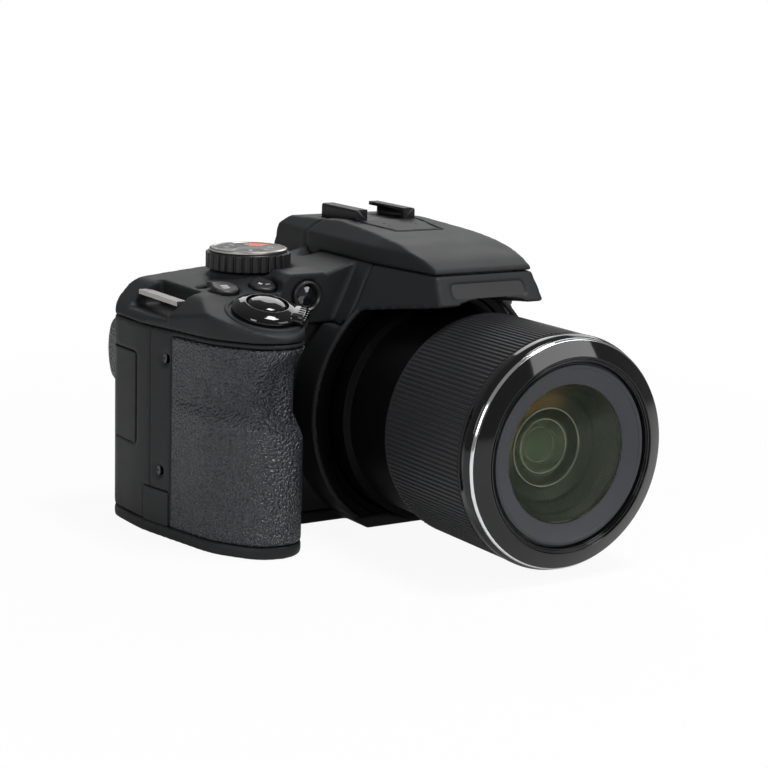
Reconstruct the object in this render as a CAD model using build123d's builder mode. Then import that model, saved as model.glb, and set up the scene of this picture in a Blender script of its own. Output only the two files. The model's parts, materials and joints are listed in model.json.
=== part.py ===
from build123d import *
import os
from math import atan2, cos, pi, sin

os.makedirs("parts", exist_ok=True)

# Bridge camera, millimetres. The origin is the mouth of the tripod socket in the base,
# +Z is up, the lens looks along -Y and the grip is on the -X side.

# Whole body
body_width = 122.6
total_height = 89.3
axis_height = 34.6
grip_side = 79.2
grip_reach = 41.5
rear_y = 26.0
face_y = -13.4
seam_y = -1.5
band_height = 3.6
top_seam_z = 59.8
wall = 2.0
seam_gap = 0.2
run_gap = 0.3
seat_gap = 0.1
over = 2.0
button_flange = 0.8
flap_depth = 1.4
slope_drop = 2.6
right_side = body_width - grip_side
left_side = -grip_side
seam_half = seam_gap / 2

# Outline from above: shares of the grip side and the grip reach, then the corner radii
grip_inner_x = -48.6
bend_y = 4.0
grip_flank_shares = (0.917, 0.675)
grip_tip_shares = (0.795, 1.0)
throat_corner_x = -46.5
shoulder_step = 5.4
shoulder_run = 9.4
corner_radius = 9.0
bend_radius = 60.0
flank_radius = 25.0
tip_radius = 12.0
nose_radius = 8.5
throat_radius = 7.0
front_radius = 6.0

foot_points = [
    (left_side, rear_y),
    (left_side, bend_y),
    (-grip_flank_shares[0] * grip_side, -grip_flank_shares[1] * grip_reach),
    (-grip_tip_shares[0] * grip_side, -grip_tip_shares[1] * grip_reach),
    (grip_inner_x, -grip_reach),
    (throat_corner_x, face_y),
    (right_side - shoulder_step, face_y),
    (right_side, face_y + shoulder_run),
    (right_side, rear_y),
]
foot_radii = [corner_radius, bend_radius, flank_radius, tip_radius, nose_radius,
              throat_radius, front_radius, front_radius, corner_radius]

# Shape of the top seen from the side (slope over the grip) and from the front (shoulders)
slope_front_y = -43.0
slope_front_z = 61.6
slope_top_y = -3.0
slope_top_z = 72.6
slope_nose_radius = 5.0
slope_bend_radius = 30.0
rear_top_radius = 6.0
shoulder_z = 61.4
left_brow_x = -69.5
left_brow_z = 69.3
dial_deck_x = -44.0
dial_deck_z = 72.3
right_brow_x = 33.0
right_brow_z = 69.0
brow_radius = 7.0
form_floor = 50.0
slope_angle = atan2(slope_top_z - slope_front_z, slope_top_y - slope_front_y)
deck_angle = atan2(dial_deck_z - left_brow_z, dial_deck_x - left_brow_x)

# Finder housing, flash lid and beak
shoe_height = 4.7
deck_z = total_height - shoe_height
lid_seam_z = 77.2
hump_half = 20.0
beak_foot_y = -55.6
beak_foot_z = 69.2
beak_brow_y = -50.7
hump_split_y = -24.0
hump_mid_y = 12.0
hump_rear_y = 34.5
hump_rear_round = 3.0
lid_nose_radius = 1.6
# Heights, then half widths at the beak, the split, the middle and the rear, as shares
hump_level_shares = (-0.20, 0.0, 0.33, 0.55, 0.70, 0.895, 1.10)
beak_width_shares = (0.92, 0.90, 0.86, 0.80, 0.76, 0.73, 0.56)
split_width_shares = (1.70, 1.42, 1.22, 1.10, 1.00, 0.975, 0.675)
mid_width_shares = (1.70, 1.42, 1.22, 1.08, 1.00, 0.975, 0.675)
rear_width_shares = (1.02, 1.00, 0.98, 0.955, 0.925, 0.885, 0.60)
# Top line of the lid: shares of the brow reach, then of the lid height
lid_line_shares = ((0.995, 0.18), (0.888, 0.49), (0.65, 0.88), (0.39, 1.07), (-0.05, 1.24))

# Lens barrels, radii from the lens axis and places along Y
chrome_y = -91.5
barrel_radius = 31.9
rib_rear_y = -51.2
fixed_front_y = -53.0
fixed_rear_y = -8.5
fixed_radius = 30.4
ridge_radius = 32.3
ridge_front_y = -31.0
ridge_rear_y = -18.0
middle_front_y = -78.0
middle_rear_y = -15.0
inner_rear_y = -22.0
throat_rim_radius = 38.0
boss_radius = 39.6
boss_front_y = -26.0
collar_seat_y = -21.0
collar_step_radius = 35.2
arch_radius = 36.5
glass_radius = 18.9


def foot_outline(inset=0.0):
    """Face of the body seen from above, drawn in by inset."""
    with BuildSketch() as outline:
        with BuildLine():
            FilletPolyline(*foot_points, radius=foot_radii, close=True)
        make_face()
        if inset:
            offset(amount=-inset, kind=Kind.INTERSECTION)
    return outline.sketch


def column(face, low, high):
    """Solid of a face drawn on the base, from one height to another."""
    with BuildPart() as solid:
        with BuildSketch(Plane.XY.offset(low)):
            add(face)
        extrude(amount=high - low)
    return solid.part


def block(low, high):
    """Box between two corners."""
    with BuildPart() as solid:
        with Locations(tuple((a + b) / 2 for a, b in zip(low, high))):
            Box(*[b - a for a, b in zip(low, high)])
    return solid.part


def turned(points):
    """Solid of (radius, y) points turned about the lens axis."""
    with BuildPart() as solid:
        with BuildSketch(Plane.XY.offset(axis_height)):
            with BuildLine():
                Polyline(*points, close=True)
            make_face()
        revolve(axis=Axis((0, 0, axis_height), (0, 1, 0)))
    return solid.part


def tube(outer, inner, front, rear):
    """Plain ring about the lens axis."""
    return turned([(inner, front), (outer, front), (outer, rear), (inner, rear)])


def disc(radius, front, rear):
    """Plain disc about the lens axis."""
    return turned([(0, front), (radius, front), (radius, rear), (0, rear)])


def common(first, second):
    """Where two solids share room."""
    with BuildPart() as solid:
        add(first)
        add(second, mode=Mode.INTERSECT)
    return solid.part


def less(first, second):
    """First solid with the second taken away."""
    with BuildPart() as solid:
        add(first)
        add(second, mode=Mode.SUBTRACT)
    return solid.part


def rod(plane, radius, low, high):
    """Round rod square to a plane, between two heights over it."""
    with BuildPart() as solid:
        with BuildSketch(plane.offset(low)):
            Circle(radius)
        extrude(amount=high - low)
    return solid.part


def pad(plane, width, height, corner, low, high):
    """Plate with rounded corners square to a plane, between two heights over it."""
    with BuildPart() as solid:
        with BuildSketch(plane.offset(low)):
            RectangleRounded(width, height, corner)
        extrude(amount=high - low)
    return solid.part


def push_button(plane, radius, proud, drop=0.0):
    """Button cap through the casing wall, with the flange that keeps it in."""
    top = -wall - run_gap - drop
    with BuildPart() as solid:
        add(rod(plane, radius, top - button_flange, proud))
        fillet(solid.faces().sort_by(Axis(plane.origin, plane.z_dir))[-1].edges(), proud / 2)
        add(rod(plane, radius + button_flange, top - button_flange, top))
    return solid.part


def slope_plane(x, y):
    """Plane on the slope over the grip."""
    rise = (slope_top_z - slope_front_z) / (slope_top_y - slope_front_y)
    return Plane(origin=(x, y, slope_front_z + (y - slope_front_y) * rise),
                 x_dir=(1, 0, 0), z_dir=(0, -sin(slope_angle), cos(slope_angle)))


def side_skin(front, rear, low, high, depth):
    """Strip of the -X side wall, as deep as depth."""
    ring = less(column(outer_foot, low, high), column(foot_outline(depth), low - over, high + over))
    return common(ring, block((left_side - over, front, low), (-grip_side / 2, rear, high)))


def upper_form(inset=0.0):
    """Outside of the top casing over the grip and the shoulders, drawn in by inset."""
    with BuildPart() as form:
        with BuildSketch(Plane.XY.offset(form_floor)):
            add(foot_outline(inset))
        extrude(amount=total_height - form_floor)
        with BuildSketch(Plane.YZ):
            with BuildLine():
                FilletPolyline(
                    (slope_front_y, form_floor), (slope_front_y, slope_front_z),
                    (slope_top_y, slope_top_z), (rear_y, slope_top_z), (rear_y, form_floor),
                    radius=[0, slope_nose_radius, slope_bend_radius, rear_top_radius, 0],
                    close=True)
            make_face()
            if inset:
                offset(amount=-inset, kind=Kind.INTERSECTION)
        extrude(amount=body_width, both=True, mode=Mode.INTERSECT)
        with BuildSketch(Plane.XZ):
            with BuildLine():
                FilletPolyline(
                    (left_side, form_floor), (left_side, shoulder_z), (left_brow_x, left_brow_z),
                    (dial_deck_x, dial_deck_z), (right_brow_x, right_brow_z),
                    (right_side, shoulder_z), (right_side, form_floor),
                    radius=[0, brow_radius, brow_radius, brow_radius, brow_radius, brow_radius, 0],
                    close=True)
            make_face()
            if inset:
                offset(amount=-inset, kind=Kind.INTERSECTION)
        extrude(amount=body_width, both=True, mode=Mode.INTERSECT)
    return form.part


def hump_section(shares, inset):
    """Closed outline of the hump at one station, seen from the front."""
    level = deck_z - top_seam_z
    right = [(share * hump_half, top_seam_z + height * level)
             for share, height in zip(shares, hump_level_shares)]
    left = [(-x, z) for x, z in reversed(right)]
    with BuildSketch() as outline:
        with BuildLine():
            Polyline(*right, *left, close=True)
        make_face()
        if inset:
            offset(amount=-inset, kind=Kind.INTERSECTION)
    return outline.sketch


def hump_form(inset=0.0):
    """Outside of the beak, the lid and the finder housing, drawn in by inset."""
    stations = [
        (beak_foot_y - over, beak_width_shares), (hump_split_y, split_width_shares),
        (hump_mid_y, mid_width_shares), (hump_rear_y, rear_width_shares),
    ]
    with BuildPart() as form:
        for place, shares in stations:
            with BuildSketch(Plane.XZ.offset(-place)):
                add(hump_section(shares, inset))
        loft(ruled=True)
        slant = (beak_brow_y - beak_foot_y) / (lid_seam_z - beak_foot_z)
        floor_z = top_seam_z - (deck_z - top_seam_z)
        with BuildSketch(Plane.YZ):
            with BuildLine():
                FilletPolyline(
                    (beak_foot_y - slant * (beak_foot_z - floor_z), floor_z),
                    (beak_brow_y, lid_seam_z),
                    *[(reach * beak_brow_y, lid_seam_z + level * (deck_z - lid_seam_z))
                      for reach, level in lid_line_shares],
                    (hump_rear_y - hump_rear_round, deck_z), (hump_rear_y, deck_z - hump_rear_round),
                    (hump_rear_y, floor_z),
                    radius=[0, 0, lid_nose_radius, slope_bend_radius, slope_bend_radius,
                            slope_bend_radius, slope_bend_radius, hump_rear_round,
                            hump_rear_round, 0],
                    close=True)
            make_face()
            if inset:
                offset(amount=-inset, kind=Kind.INTERSECTION)
        extrude(amount=body_width, both=True, mode=Mode.INTERSECT)
    return form.part


outer_foot = foot_outline()
inner_foot = foot_outline(wall)
upper_outer = upper_form()
upper_inner = upper_form(wall)
hump_outer = hump_form()
hump_inner = hump_form(wall)
far = 2 * body_width

# Grip skin
skin_depth = 2.8
skin_low = band_height + seam_gap
skin_high = 58.2
skin_left_y = -10.5
skin_inner_y = -20.0
skin_split_x = -58.0
groove_z = 45.0
groove_depth = 1.5
groove_reach = 20.0
groove_core = 13.0
groove_x = -61.0
groove_y = -27.0
groove_end_y = -25.0
skin_foot = foot_outline(skin_depth)
core_foot = foot_outline(skin_depth + wall)
skin_zone_low = (left_side - over, -grip_reach - over, skin_low)
skin_zone_high = (skin_split_x, skin_left_y, skin_high)
skin_inner_low = (skin_split_x, -grip_reach - over, skin_low)
skin_inner_high = (throat_corner_x + wall, skin_inner_y, skin_high)

with BuildPart() as skin_zone:
    add(block(skin_zone_low, skin_zone_high))
    add(block(skin_inner_low, skin_inner_high))

with BuildPart() as groove:
    with BuildSketch(Plane.XZ.offset(-groove_y)):
        with Locations((groove_x + groove_core + groove_reach - groove_depth, groove_z)):
            Circle(groove_reach)
    revolve(axis=Axis((groove_x, groove_y, 0), (0, 0, 1)))

with BuildPart() as grip_skin:
    with BuildSketch(Plane.XY.offset(skin_low)):
        add(outer_foot)
        add(skin_foot, mode=Mode.SUBTRACT)
    extrude(amount=skin_high - skin_low)
    add(skin_zone.part, mode=Mode.INTERSECT)
    add(common(groove.part, block((-far, -far, 0), (far, groove_end_y, far))), mode=Mode.SUBTRACT)
grip_skin.part.label = "grip_skin"
export_step(grip_skin.part, "parts/grip_skin.step")

# Front shell: walls, boss round the barrel, bulkhead and beak
beak_floor_z = 72.9
beak_root_z = 64.6
beak_side_wall = 1.6
post_radius = 2.4
post_x_left = -38.0
post_x_right = 36.0
post_z_low = 12.0
post_z_high = 52.0
badge_half = 12.4
badge_height = 4.8
badge_depth = 0.9
badge_radius = 1.2
beak_slant = atan2(beak_brow_y - beak_foot_y, lid_seam_z - beak_foot_z)
beak_plane = Plane(
    origin=(0, (beak_foot_y + beak_brow_y) / 2, (beak_foot_z + lid_seam_z) / 2),
    x_dir=(1, 0, 0), z_dir=(0, -cos(beak_slant), sin(beak_slant)))
screw_upper_y = -8.0
screw_upper_z = 51.5
screw_lower_y = -5.6
screw_lower_z = 19.1
screw_head = 1.9
screw_head_thick = 0.9
screw_shank = 1.0
screw_length = 5.0
dc_front_y = -9.6
dc_rear_y = 1.4
dc_low_z = band_height + seam_gap
dc_high_z = 13.6

flank_y = -grip_flank_shares[1] * grip_reach
flank_x = -grip_flank_shares[0] * grip_side
flank_angle = atan2(flank_x - left_side, bend_y - flank_y)


def side_screw_plane(y, z):
    """Plane on the side wall in front of the seam."""
    return Plane(origin=(left_side + (bend_y - y) * (flank_x - left_side) / (bend_y - flank_y), y, z),
                 x_dir=(0, 0, 1), z_dir=(-cos(flank_angle), -sin(flank_angle), 0))


with BuildPart() as dc_bed:
    add(side_skin(dc_front_y - run_gap, dc_rear_y + seat_gap, dc_low_z - over,
                  dc_high_z + seat_gap, flap_depth + seat_gap))

with BuildPart() as skin_hollow:
    add(column(inner_foot, 0, top_seam_z + over))
    add(block((left_side - over, -grip_reach - over, -over),
              (skin_split_x + wall, skin_left_y + wall, far)), mode=Mode.SUBTRACT)
    add(block((skin_split_x, -grip_reach - over, -over),
              (throat_corner_x + 2 * wall, skin_inner_y + wall, far)), mode=Mode.SUBTRACT)
    add(column(core_foot, 0, top_seam_z + over))

with BuildPart() as bed_zone:
    add(block((skin_zone_low[0], skin_zone_low[1], skin_low - over),
              (skin_split_x, skin_left_y + seat_gap, skin_high + seat_gap)))
    add(block((skin_split_x, skin_inner_low[1], skin_low - over),
              (skin_inner_high[0], skin_inner_y + seat_gap, skin_high + seat_gap)))

with BuildPart() as skin_bed:
    with BuildSketch(Plane.XY.offset(skin_low - over)):
        add(outer_foot)
        add(skin_foot, mode=Mode.SUBTRACT)
    extrude(amount=skin_high + seat_gap - skin_low + over)
    add(bed_zone.part, mode=Mode.INTERSECT)

with BuildPart() as beak:
    add(hump_outer)
    add(block((-far, -far, band_height), (far, hump_split_y - seam_half, lid_seam_z - seam_half)),
        mode=Mode.INTERSECT)
    add(disc(arch_radius, -far, boss_front_y), mode=Mode.SUBTRACT)
    with BuildSketch(Plane.YZ):
        with BuildLine():
            Polyline((beak_foot_y - far, beak_foot_z), (beak_foot_y, beak_foot_z),
                     (boss_front_y, beak_root_z), (boss_front_y, -far),
                     (beak_foot_y - far, -far), close=True)
        make_face()
    extrude(amount=far, both=True, mode=Mode.SUBTRACT)
    beak_room = beak_width_shares[-3] * hump_half - beak_side_wall
    add(block((-beak_room, beak_brow_y + wall, beak_floor_z),
              (beak_room, boss_front_y, far)), mode=Mode.SUBTRACT)
    with BuildSketch(beak_plane):
        RectangleRounded(2 * badge_half, badge_height, badge_radius)
    extrude(amount=-badge_depth, mode=Mode.SUBTRACT)

with BuildPart() as front_cover:
    with BuildSketch(Plane.XY.offset(band_height + seam_half)):
        add(outer_foot)
    extrude(amount=top_seam_z - band_height - seam_gap)
    add(skin_hollow.part, mode=Mode.SUBTRACT)
    add(skin_bed.part, mode=Mode.SUBTRACT)
    add(tube(boss_radius, collar_step_radius, boss_front_y, face_y + wall))
    add(block((-far, -far, -far), (far, far, band_height + seam_half)), mode=Mode.SUBTRACT)
    add(block((-far, hump_split_y - seam_half, top_seam_z - seam_half), (far, far, far)),
        mode=Mode.SUBTRACT)
    add(beak.part)
    add(disc(throat_rim_radius, boss_front_y, collar_seat_y), mode=Mode.SUBTRACT)
    add(disc(collar_step_radius, collar_seat_y - over, face_y + wall + over), mode=Mode.SUBTRACT)
    add(block((-far, seam_y - seam_half, -far), (far, far, far)), mode=Mode.SUBTRACT)
    with BuildSketch(Plane.XZ.offset(-fixed_rear_y)):
        with Locations((post_x_left, post_z_low), (post_x_left, post_z_high),
                       (post_x_right, post_z_low), (post_x_right, post_z_high)):
            Circle(post_radius)
    extrude(amount=fixed_rear_y - face_y - wall / 2)
    add(dc_bed.part, mode=Mode.SUBTRACT)
    for place, height in ((screw_upper_y, screw_upper_z), (screw_lower_y, screw_lower_z)):
        add(rod(side_screw_plane(place, height), screw_head + seat_gap, -screw_head_thick, over),
            mode=Mode.SUBTRACT)
        add(rod(side_screw_plane(place, height), screw_shank + seat_gap, -screw_length, over),
            mode=Mode.SUBTRACT)
front_cover.part.label = "front_cover"
export_step(front_cover.part, "parts/front_cover.step")

with BuildPart() as beak_plate:
    with BuildSketch(beak_plane.offset(-badge_depth)):
        RectangleRounded(2 * (badge_half - seat_gap), badge_height - 2 * seat_gap,
                         badge_radius - seat_gap)
    extrude(amount=badge_depth / 2)
beak_plate.part.label = "beak_plate"
export_step(beak_plate.part, "parts/beak_plate.step")

# Rear shell with the display recess, the thumb bulge and the connector pocket
lcd_left = -34.0
lcd_right = 35.0
lcd_low = 6.0
lcd_high = 57.6
lcd_front_y = 20.4
lcd_rear_y = 27.2
recess_y = 18.6
recess_side = 2.2
recess_wall = 1.6
rear_split_z = 59.2
thumb_left = -76.4
thumb_right = -52.0
thumb_low = 37.0
thumb_high = top_seam_z - seam_gap
thumb_crown = 4.9
thumb_skin = 1.3
thumb_round = 5.0
connector_front_y = 6.0
connector_rear_y = 20.4
connector_low_z = 25.0
connector_high_z = 51.0
connector_pocket = 5.0
connector_rim = 1.6
board_y = 10.4
board_thick = 1.4
lcd_axis_y = 24.4
lcd_top_axis_z = 55.6
lcd_foot_axis_z = 9.4
pin_radius = 0.8
pin_length = 1.3
playback_x = -43.5
playback_z = 52.0
movie_z = 43.0
small_button = 2.8
display_x = -44.0
display_z = 11.0
selector_x = -56.5
selector_z = 22.0
selector_radius = 9.5
ok_radius = 4.0
thumb_mid_z = (thumb_low + thumb_high) / 2
thumb_half = (thumb_high - thumb_low) / 2
thumb_bow = (thumb_half ** 2 + thumb_crown ** 2) / (2 * thumb_crown)
lcd_mid_x = (lcd_left + lcd_right) / 2
lcd_mid_z = (lcd_low + lcd_high) / 2


def rear_place(x, z):
    """Plane on the rear face, pointing backwards."""
    return Plane(origin=(x, rear_y, z), x_dir=(-1, 0, 0), z_dir=(0, 1, 0))


def side_place(x, y, z):
    """Plane square to X."""
    return Plane(origin=(x, y, z), x_dir=(0, 1, 0), z_dir=(1, 0, 0))


rear_buttons = ((playback_x, playback_z), (playback_x, movie_z), (display_x, display_z))

with BuildPart() as thumb_form:
    add(rod(side_place(thumb_left, rear_y + thumb_crown - thumb_bow, thumb_mid_z),
            thumb_bow, 0, thumb_right - thumb_left))
    add(pad(rear_place((thumb_left + thumb_right) / 2, thumb_mid_z), thumb_right - thumb_left,
            thumb_high - thumb_low, thumb_round, -corner_radius, thumb_crown + over),
        mode=Mode.INTERSECT)
    fillet(thumb_form.faces().sort_by(Axis.Y)[-1].edges(), thumb_skin)

with BuildPart() as thumb_rest:
    add(thumb_form.part)
    add(column(foot_outline(thumb_skin), 0, far), mode=Mode.SUBTRACT)
thumb_rest.part.label = "thumb_rest"
export_step(thumb_rest.part, "parts/thumb_rest.step")

with BuildPart() as rear_cover:
    add(column(outer_foot, band_height + seam_half, top_seam_z - seam_half))
    add(column(inner_foot, 0, far), mode=Mode.SUBTRACT)
    add(common(column(outer_foot, band_height + seam_half, top_seam_z - seam_half),
               block((lcd_left - recess_side - recess_wall, recess_y - recess_wall, 0),
                     (right_side, rear_y + over, top_seam_z))))
    add(block((lcd_left - recess_side, recess_y, lcd_low - recess_side),
              (lcd_right + recess_side, rear_y + over, rear_split_z)), mode=Mode.SUBTRACT)
    add(common(column(outer_foot, thumb_low, thumb_high), thumb_form.part), mode=Mode.SUBTRACT)
    add(common(column(foot_outline(thumb_skin), thumb_low - thumb_skin, top_seam_z - seam_half),
               less(block((thumb_left - thumb_skin, rear_y - corner_radius, 0),
                          (thumb_right + thumb_skin, rear_y, far)),
                    column(foot_outline(thumb_skin + wall), 0, far))))
    add(common(column(outer_foot, connector_low_z - connector_rim, connector_high_z + connector_rim),
               block((left_side - over, connector_front_y - connector_rim, 0),
                     (left_side + connector_pocket + wall, connector_rear_y + connector_rim, far))))
    add(side_skin(connector_front_y - run_gap, connector_rear_y + seat_gap,
                  connector_low_z - seat_gap, connector_high_z + seat_gap, flap_depth + seat_gap),
        mode=Mode.SUBTRACT)
    add(block((left_side - over, connector_front_y + connector_rim, connector_low_z + connector_rim),
              (left_side + connector_pocket, connector_rear_y - connector_rim,
               connector_high_z - connector_rim)), mode=Mode.SUBTRACT)
    add(block((-far, -far, -far), (far, seam_y + seam_half, far)), mode=Mode.SUBTRACT)
    add(dc_bed.part, mode=Mode.SUBTRACT)
    for x in (post_x_left + wall, post_x_right - 2 * wall):
        for z in (post_z_low, post_z_high):
            add(rod(rear_place(x, z), post_radius, board_y - rear_y, recess_y - rear_y - seat_gap))
    for x, z in rear_buttons:
        add(rod(rear_place(x, z), small_button + run_gap, -wall - over, over), mode=Mode.SUBTRACT)
    add(rod(rear_place(selector_x, selector_z), selector_radius + run_gap, -wall / 2, over),
        mode=Mode.SUBTRACT)
    add(rod(rear_place(selector_x, selector_z), ok_radius + wall, -wall - over, over),
        mode=Mode.SUBTRACT)
    add(rod(side_place(lcd_mid_x, lcd_axis_y, lcd_top_axis_z), pin_radius + seat_gap,
            lcd_left - lcd_mid_x - recess_side - pin_length,
            lcd_right - lcd_mid_x + recess_side + pin_length), mode=Mode.SUBTRACT)
    add(thumb_rest.part, mode=Mode.SUBTRACT)
rear_cover.part.label = "rear_cover"
export_step(rear_cover.part, "parts/rear_cover.step")

# Base band: floor, lip under the barrel, tripod bush and battery opening
floor_thick = 1.8
bush_radius = 5.0
bush_height = 8.0
bush_wall = 1.6
thread_radius = 3.175
thread_depth = 6.5
door_left = -71.0
door_right = -50.4
door_front_y = -29.0
door_rear_y = 13.0
door_thick = 1.5
door_round = 4.0
base_screw_left = -44.0
base_screw_right = 35.0
base_screw_rear_y = 14.0
base_screw_front_y = -5.0
base_screw_head = 1.7
door_plane = Plane.XY.offset(0).shift_origin(((door_left + door_right) / 2,
                                              (door_front_y + door_rear_y) / 2, 0))
base_screws = ((base_screw_left, base_screw_rear_y), (base_screw_right, base_screw_rear_y),
               (base_screw_right, base_screw_front_y), (base_screw_left + wall, base_screw_front_y))

with BuildPart() as bottom_cover:
    add(column(outer_foot, 0, band_height))
    chamfer(bottom_cover.faces().sort_by(Axis.Z)[0].edges(), wall / 3)
    add(common(disc(boss_radius, boss_front_y + wall / 2, face_y + wall),
               block((-far, -far, 0), (far, far, band_height))))
    add(column(inner_foot, floor_thick, far), mode=Mode.SUBTRACT)
    add(disc(ridge_radius + 3 * run_gap, boss_front_y - over, fixed_rear_y), mode=Mode.SUBTRACT)
    add(rod(Plane.XY, bush_radius + bush_wall, floor_thick / 2, bush_height))
    add(rod(Plane.XY, bush_radius, -over, bush_height + over), mode=Mode.SUBTRACT)
    add(pad(door_plane, door_right - door_left + 2 * seat_gap,
            door_rear_y - door_front_y + 2 * seat_gap, door_round, -over, floor_thick + over),
        mode=Mode.SUBTRACT)
    for x, y in base_screws:
        add(rod(Plane((x, y, 0)), base_screw_head + seat_gap, -over, floor_thick + over),
            mode=Mode.SUBTRACT)
bottom_cover.part.label = "bottom_cover"
export_step(bottom_cover.part, "parts/bottom_cover.step")

with BuildPart() as tripod_socket:
    add(rod(Plane.XY, bush_radius - seat_gap, 0, bush_height))
    add(rod(Plane.XY, thread_radius, -over, thread_depth), mode=Mode.SUBTRACT)
tripod_socket.part.label = "tripod_socket"
export_step(tripod_socket.part, "parts/tripod_socket.step")

# Top casing: slope, shoulders, lamp facet, neck, shoe deck and finder housing
deck_half = 10.4
deck_corner_y = -3.0
mic_front_half = 7.8
mic_front_y = -17.5
mic_thick = 0.7
shoe_front_y = 0.8
shoe_rear_y = 20.4
lid_gap = 0.25
lid_swing_gap = 0.25
hinge_y = 8.6
hinge_z = 81.0
hinge_round = 5.2
hinge_clear = 5.6
lid_pin = 1.2
lid_pin_length = 1.6
facet_left = -44.5
facet_break_x = -33.6
facet_right = -20.0
facet_front_y = -16.2
facet_rear_y = -4.4
facet_side_z = 72.6
facet_z = 74.4
facet_slope = 2.5
ramp_low_z = 73.0
ramp_rear_y = 16.0
finder_floor_z = 62.4
lug_front_y = -8.6
lug_rear_y = 15.4
lug_floor_z = 62.6
lug_inner_x = -66.0
lug_wall = 1.4
lug_bar_x = -72.0
lug_bar_width = 3.0
lug_bar_z = 67.4
lug_bar_thick = 1.3
mode_x = -43.0
mode_y = 6.6
mode_radius = 12.3
mode_low_z = 72.9
mode_high_z = 79.3
mode_shaft = 2.8
mode_click_radius = 5.5
mode_click_thick = 1.6
mode_click_z = 69.6
command_x = -57.0
command_y = 19.2
command_radius = 7.6
command_low_z = 61.6
command_high_z = 66.0
axle_radius = 1.2
shutter_x = -56.0
shutter_y = -27.5
shutter_radius = 5.7
shutter_proud = 4.2
ring_radius = 9.6
ring_height = 3.3
ring_neck = 7.6
tab_reach = 12.0
tab_width = 8.0
tab_turn = -40.0
burst_x = -59.8
burst_y = -10.8
exposure_x = -47.5
exposure_y = -10.5
top_button = 3.8
top_button_proud = 0.9
power_x = -60.5
power_y = -2.8
power_slot = 7.6
power_slot_width = 4.0
power_travel = 3.0
power_plate = 0.9
lamp_x = -36.5
lamp_z = 67.8
lamp_radius = 3.3
bezel_radius = 4.5
diopter_y = 25.0
diopter_z = 71.5
diopter_radius = 4.4
diopter_thick = 3.6
flash_button_y = -4.0
flash_button_z = 70.5
flash_button_radius = 3.0
evf_button_x = -26.0
evf_button_z = 64.8
evf_button_radius = 2.6
window_width = 21.0
window_height = 13.0
window_z = 73.4
cup_width = 33.2
cup_height = 17.6
cup_rear_y = 39.6
cup_z = 71.6
cup_round = 6.0
tube_half = 8.0
tube_low_z = 69.0
tube_high_z = 82.3
tube_front_y = 12.0
room_z = hinge_z - hinge_clear - lug_wall


def blend_between(value, places, results):
    """Straight-line value between listed places."""
    for index in range(len(places) - 1):
        if value <= places[index + 1] or index == len(places) - 2:
            part_way = (value - places[index]) / (places[index + 1] - places[index])
            return results[index] + part_way * (results[index + 1] - results[index])


def hump_side(y, z):
    """Half width of the hump at a place along it and a height."""
    level = (z - top_seam_z) / (deck_z - top_seam_z)
    halves = [hump_half * blend_between(level, hump_level_shares, shares)
              for shares in (split_width_shares, mid_width_shares, rear_width_shares)]
    return blend_between(y, (hump_split_y, hump_mid_y, hump_rear_y), halves)


def lug_block(inner_x, front, rear, low):
    """Pocket for a strap lug on each side."""
    with BuildPart() as solid:
        add(block((left_side - over, front, low), (inner_x, rear, far)))
        add(block((right_side + left_side - inner_x, front, low), (right_side + over, rear, far)))
    return solid.part


def deck_block(gap, low):
    """Block between the arms of the lid, widened by gap, with room for the lid to swing."""
    front_y = mic_front_y - gap - (lid_swing_gap if gap > 0 else 0)
    with BuildPart() as solid:
        with BuildSketch(Plane.XY.offset(low)):
            with BuildLine():
                Polyline((-mic_front_half - gap, front_y), (mic_front_half + gap, front_y),
                         (deck_half + gap, deck_corner_y), (deck_half + gap, far),
                         (-deck_half - gap, far), (-deck_half - gap, deck_corner_y), close=True)
            make_face()
        extrude(amount=total_height)
    return solid.part


def lid_room(gap, round_radius):
    """Room of the lid: above the seam before the hinge, round about the hinge."""
    with BuildPart() as solid:
        add(block((-far, -far, lid_seam_z + gap), (far, hinge_y, far)))
        add(rod(side_place(0, hinge_y, hinge_z), round_radius, -far, far))
    return solid.part


def facet_profile(points, front, rear):
    """Wedge drawn from the front, between two places along Y."""
    with BuildPart() as solid:
        with BuildSketch(Plane.XZ.offset(-front)):
            with BuildLine():
                Polyline(*points, close=True)
            make_face()
        extrude(amount=front - rear)
    return solid.part


flash_tilt = atan2(hump_side(flash_button_y, flash_button_z - wall)
                   - hump_side(flash_button_y, flash_button_z + wall), 2 * wall)
flash_plane = Plane(origin=(hump_side(flash_button_y, flash_button_z), flash_button_y, flash_button_z),
                    x_dir=(0, 1, 0), z_dir=(cos(flash_tilt), 0, sin(flash_tilt)))
power_plane = Plane(
    origin=(power_x, power_y, left_brow_z + (power_x - left_brow_x) * (dial_deck_z - left_brow_z)
            / (dial_deck_x - left_brow_x)),
    x_dir=(cos(deck_angle), 0, sin(deck_angle)), z_dir=(-sin(deck_angle), 0, cos(deck_angle)))
shutter_plane = slope_plane(shutter_x, shutter_y)
diopter_x = hump_side(diopter_y, diopter_z)
window_plane = Plane(origin=(0, hump_rear_y, window_z), x_dir=(-1, 0, 0), z_dir=(0, 1, 0))
lamp_plane = Plane(origin=(lamp_x, facet_front_y, lamp_z), x_dir=(1, 0, 0), z_dir=(0, -1, 0))
tab_plane = shutter_plane.rotated((0, 0, tab_turn))

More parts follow.
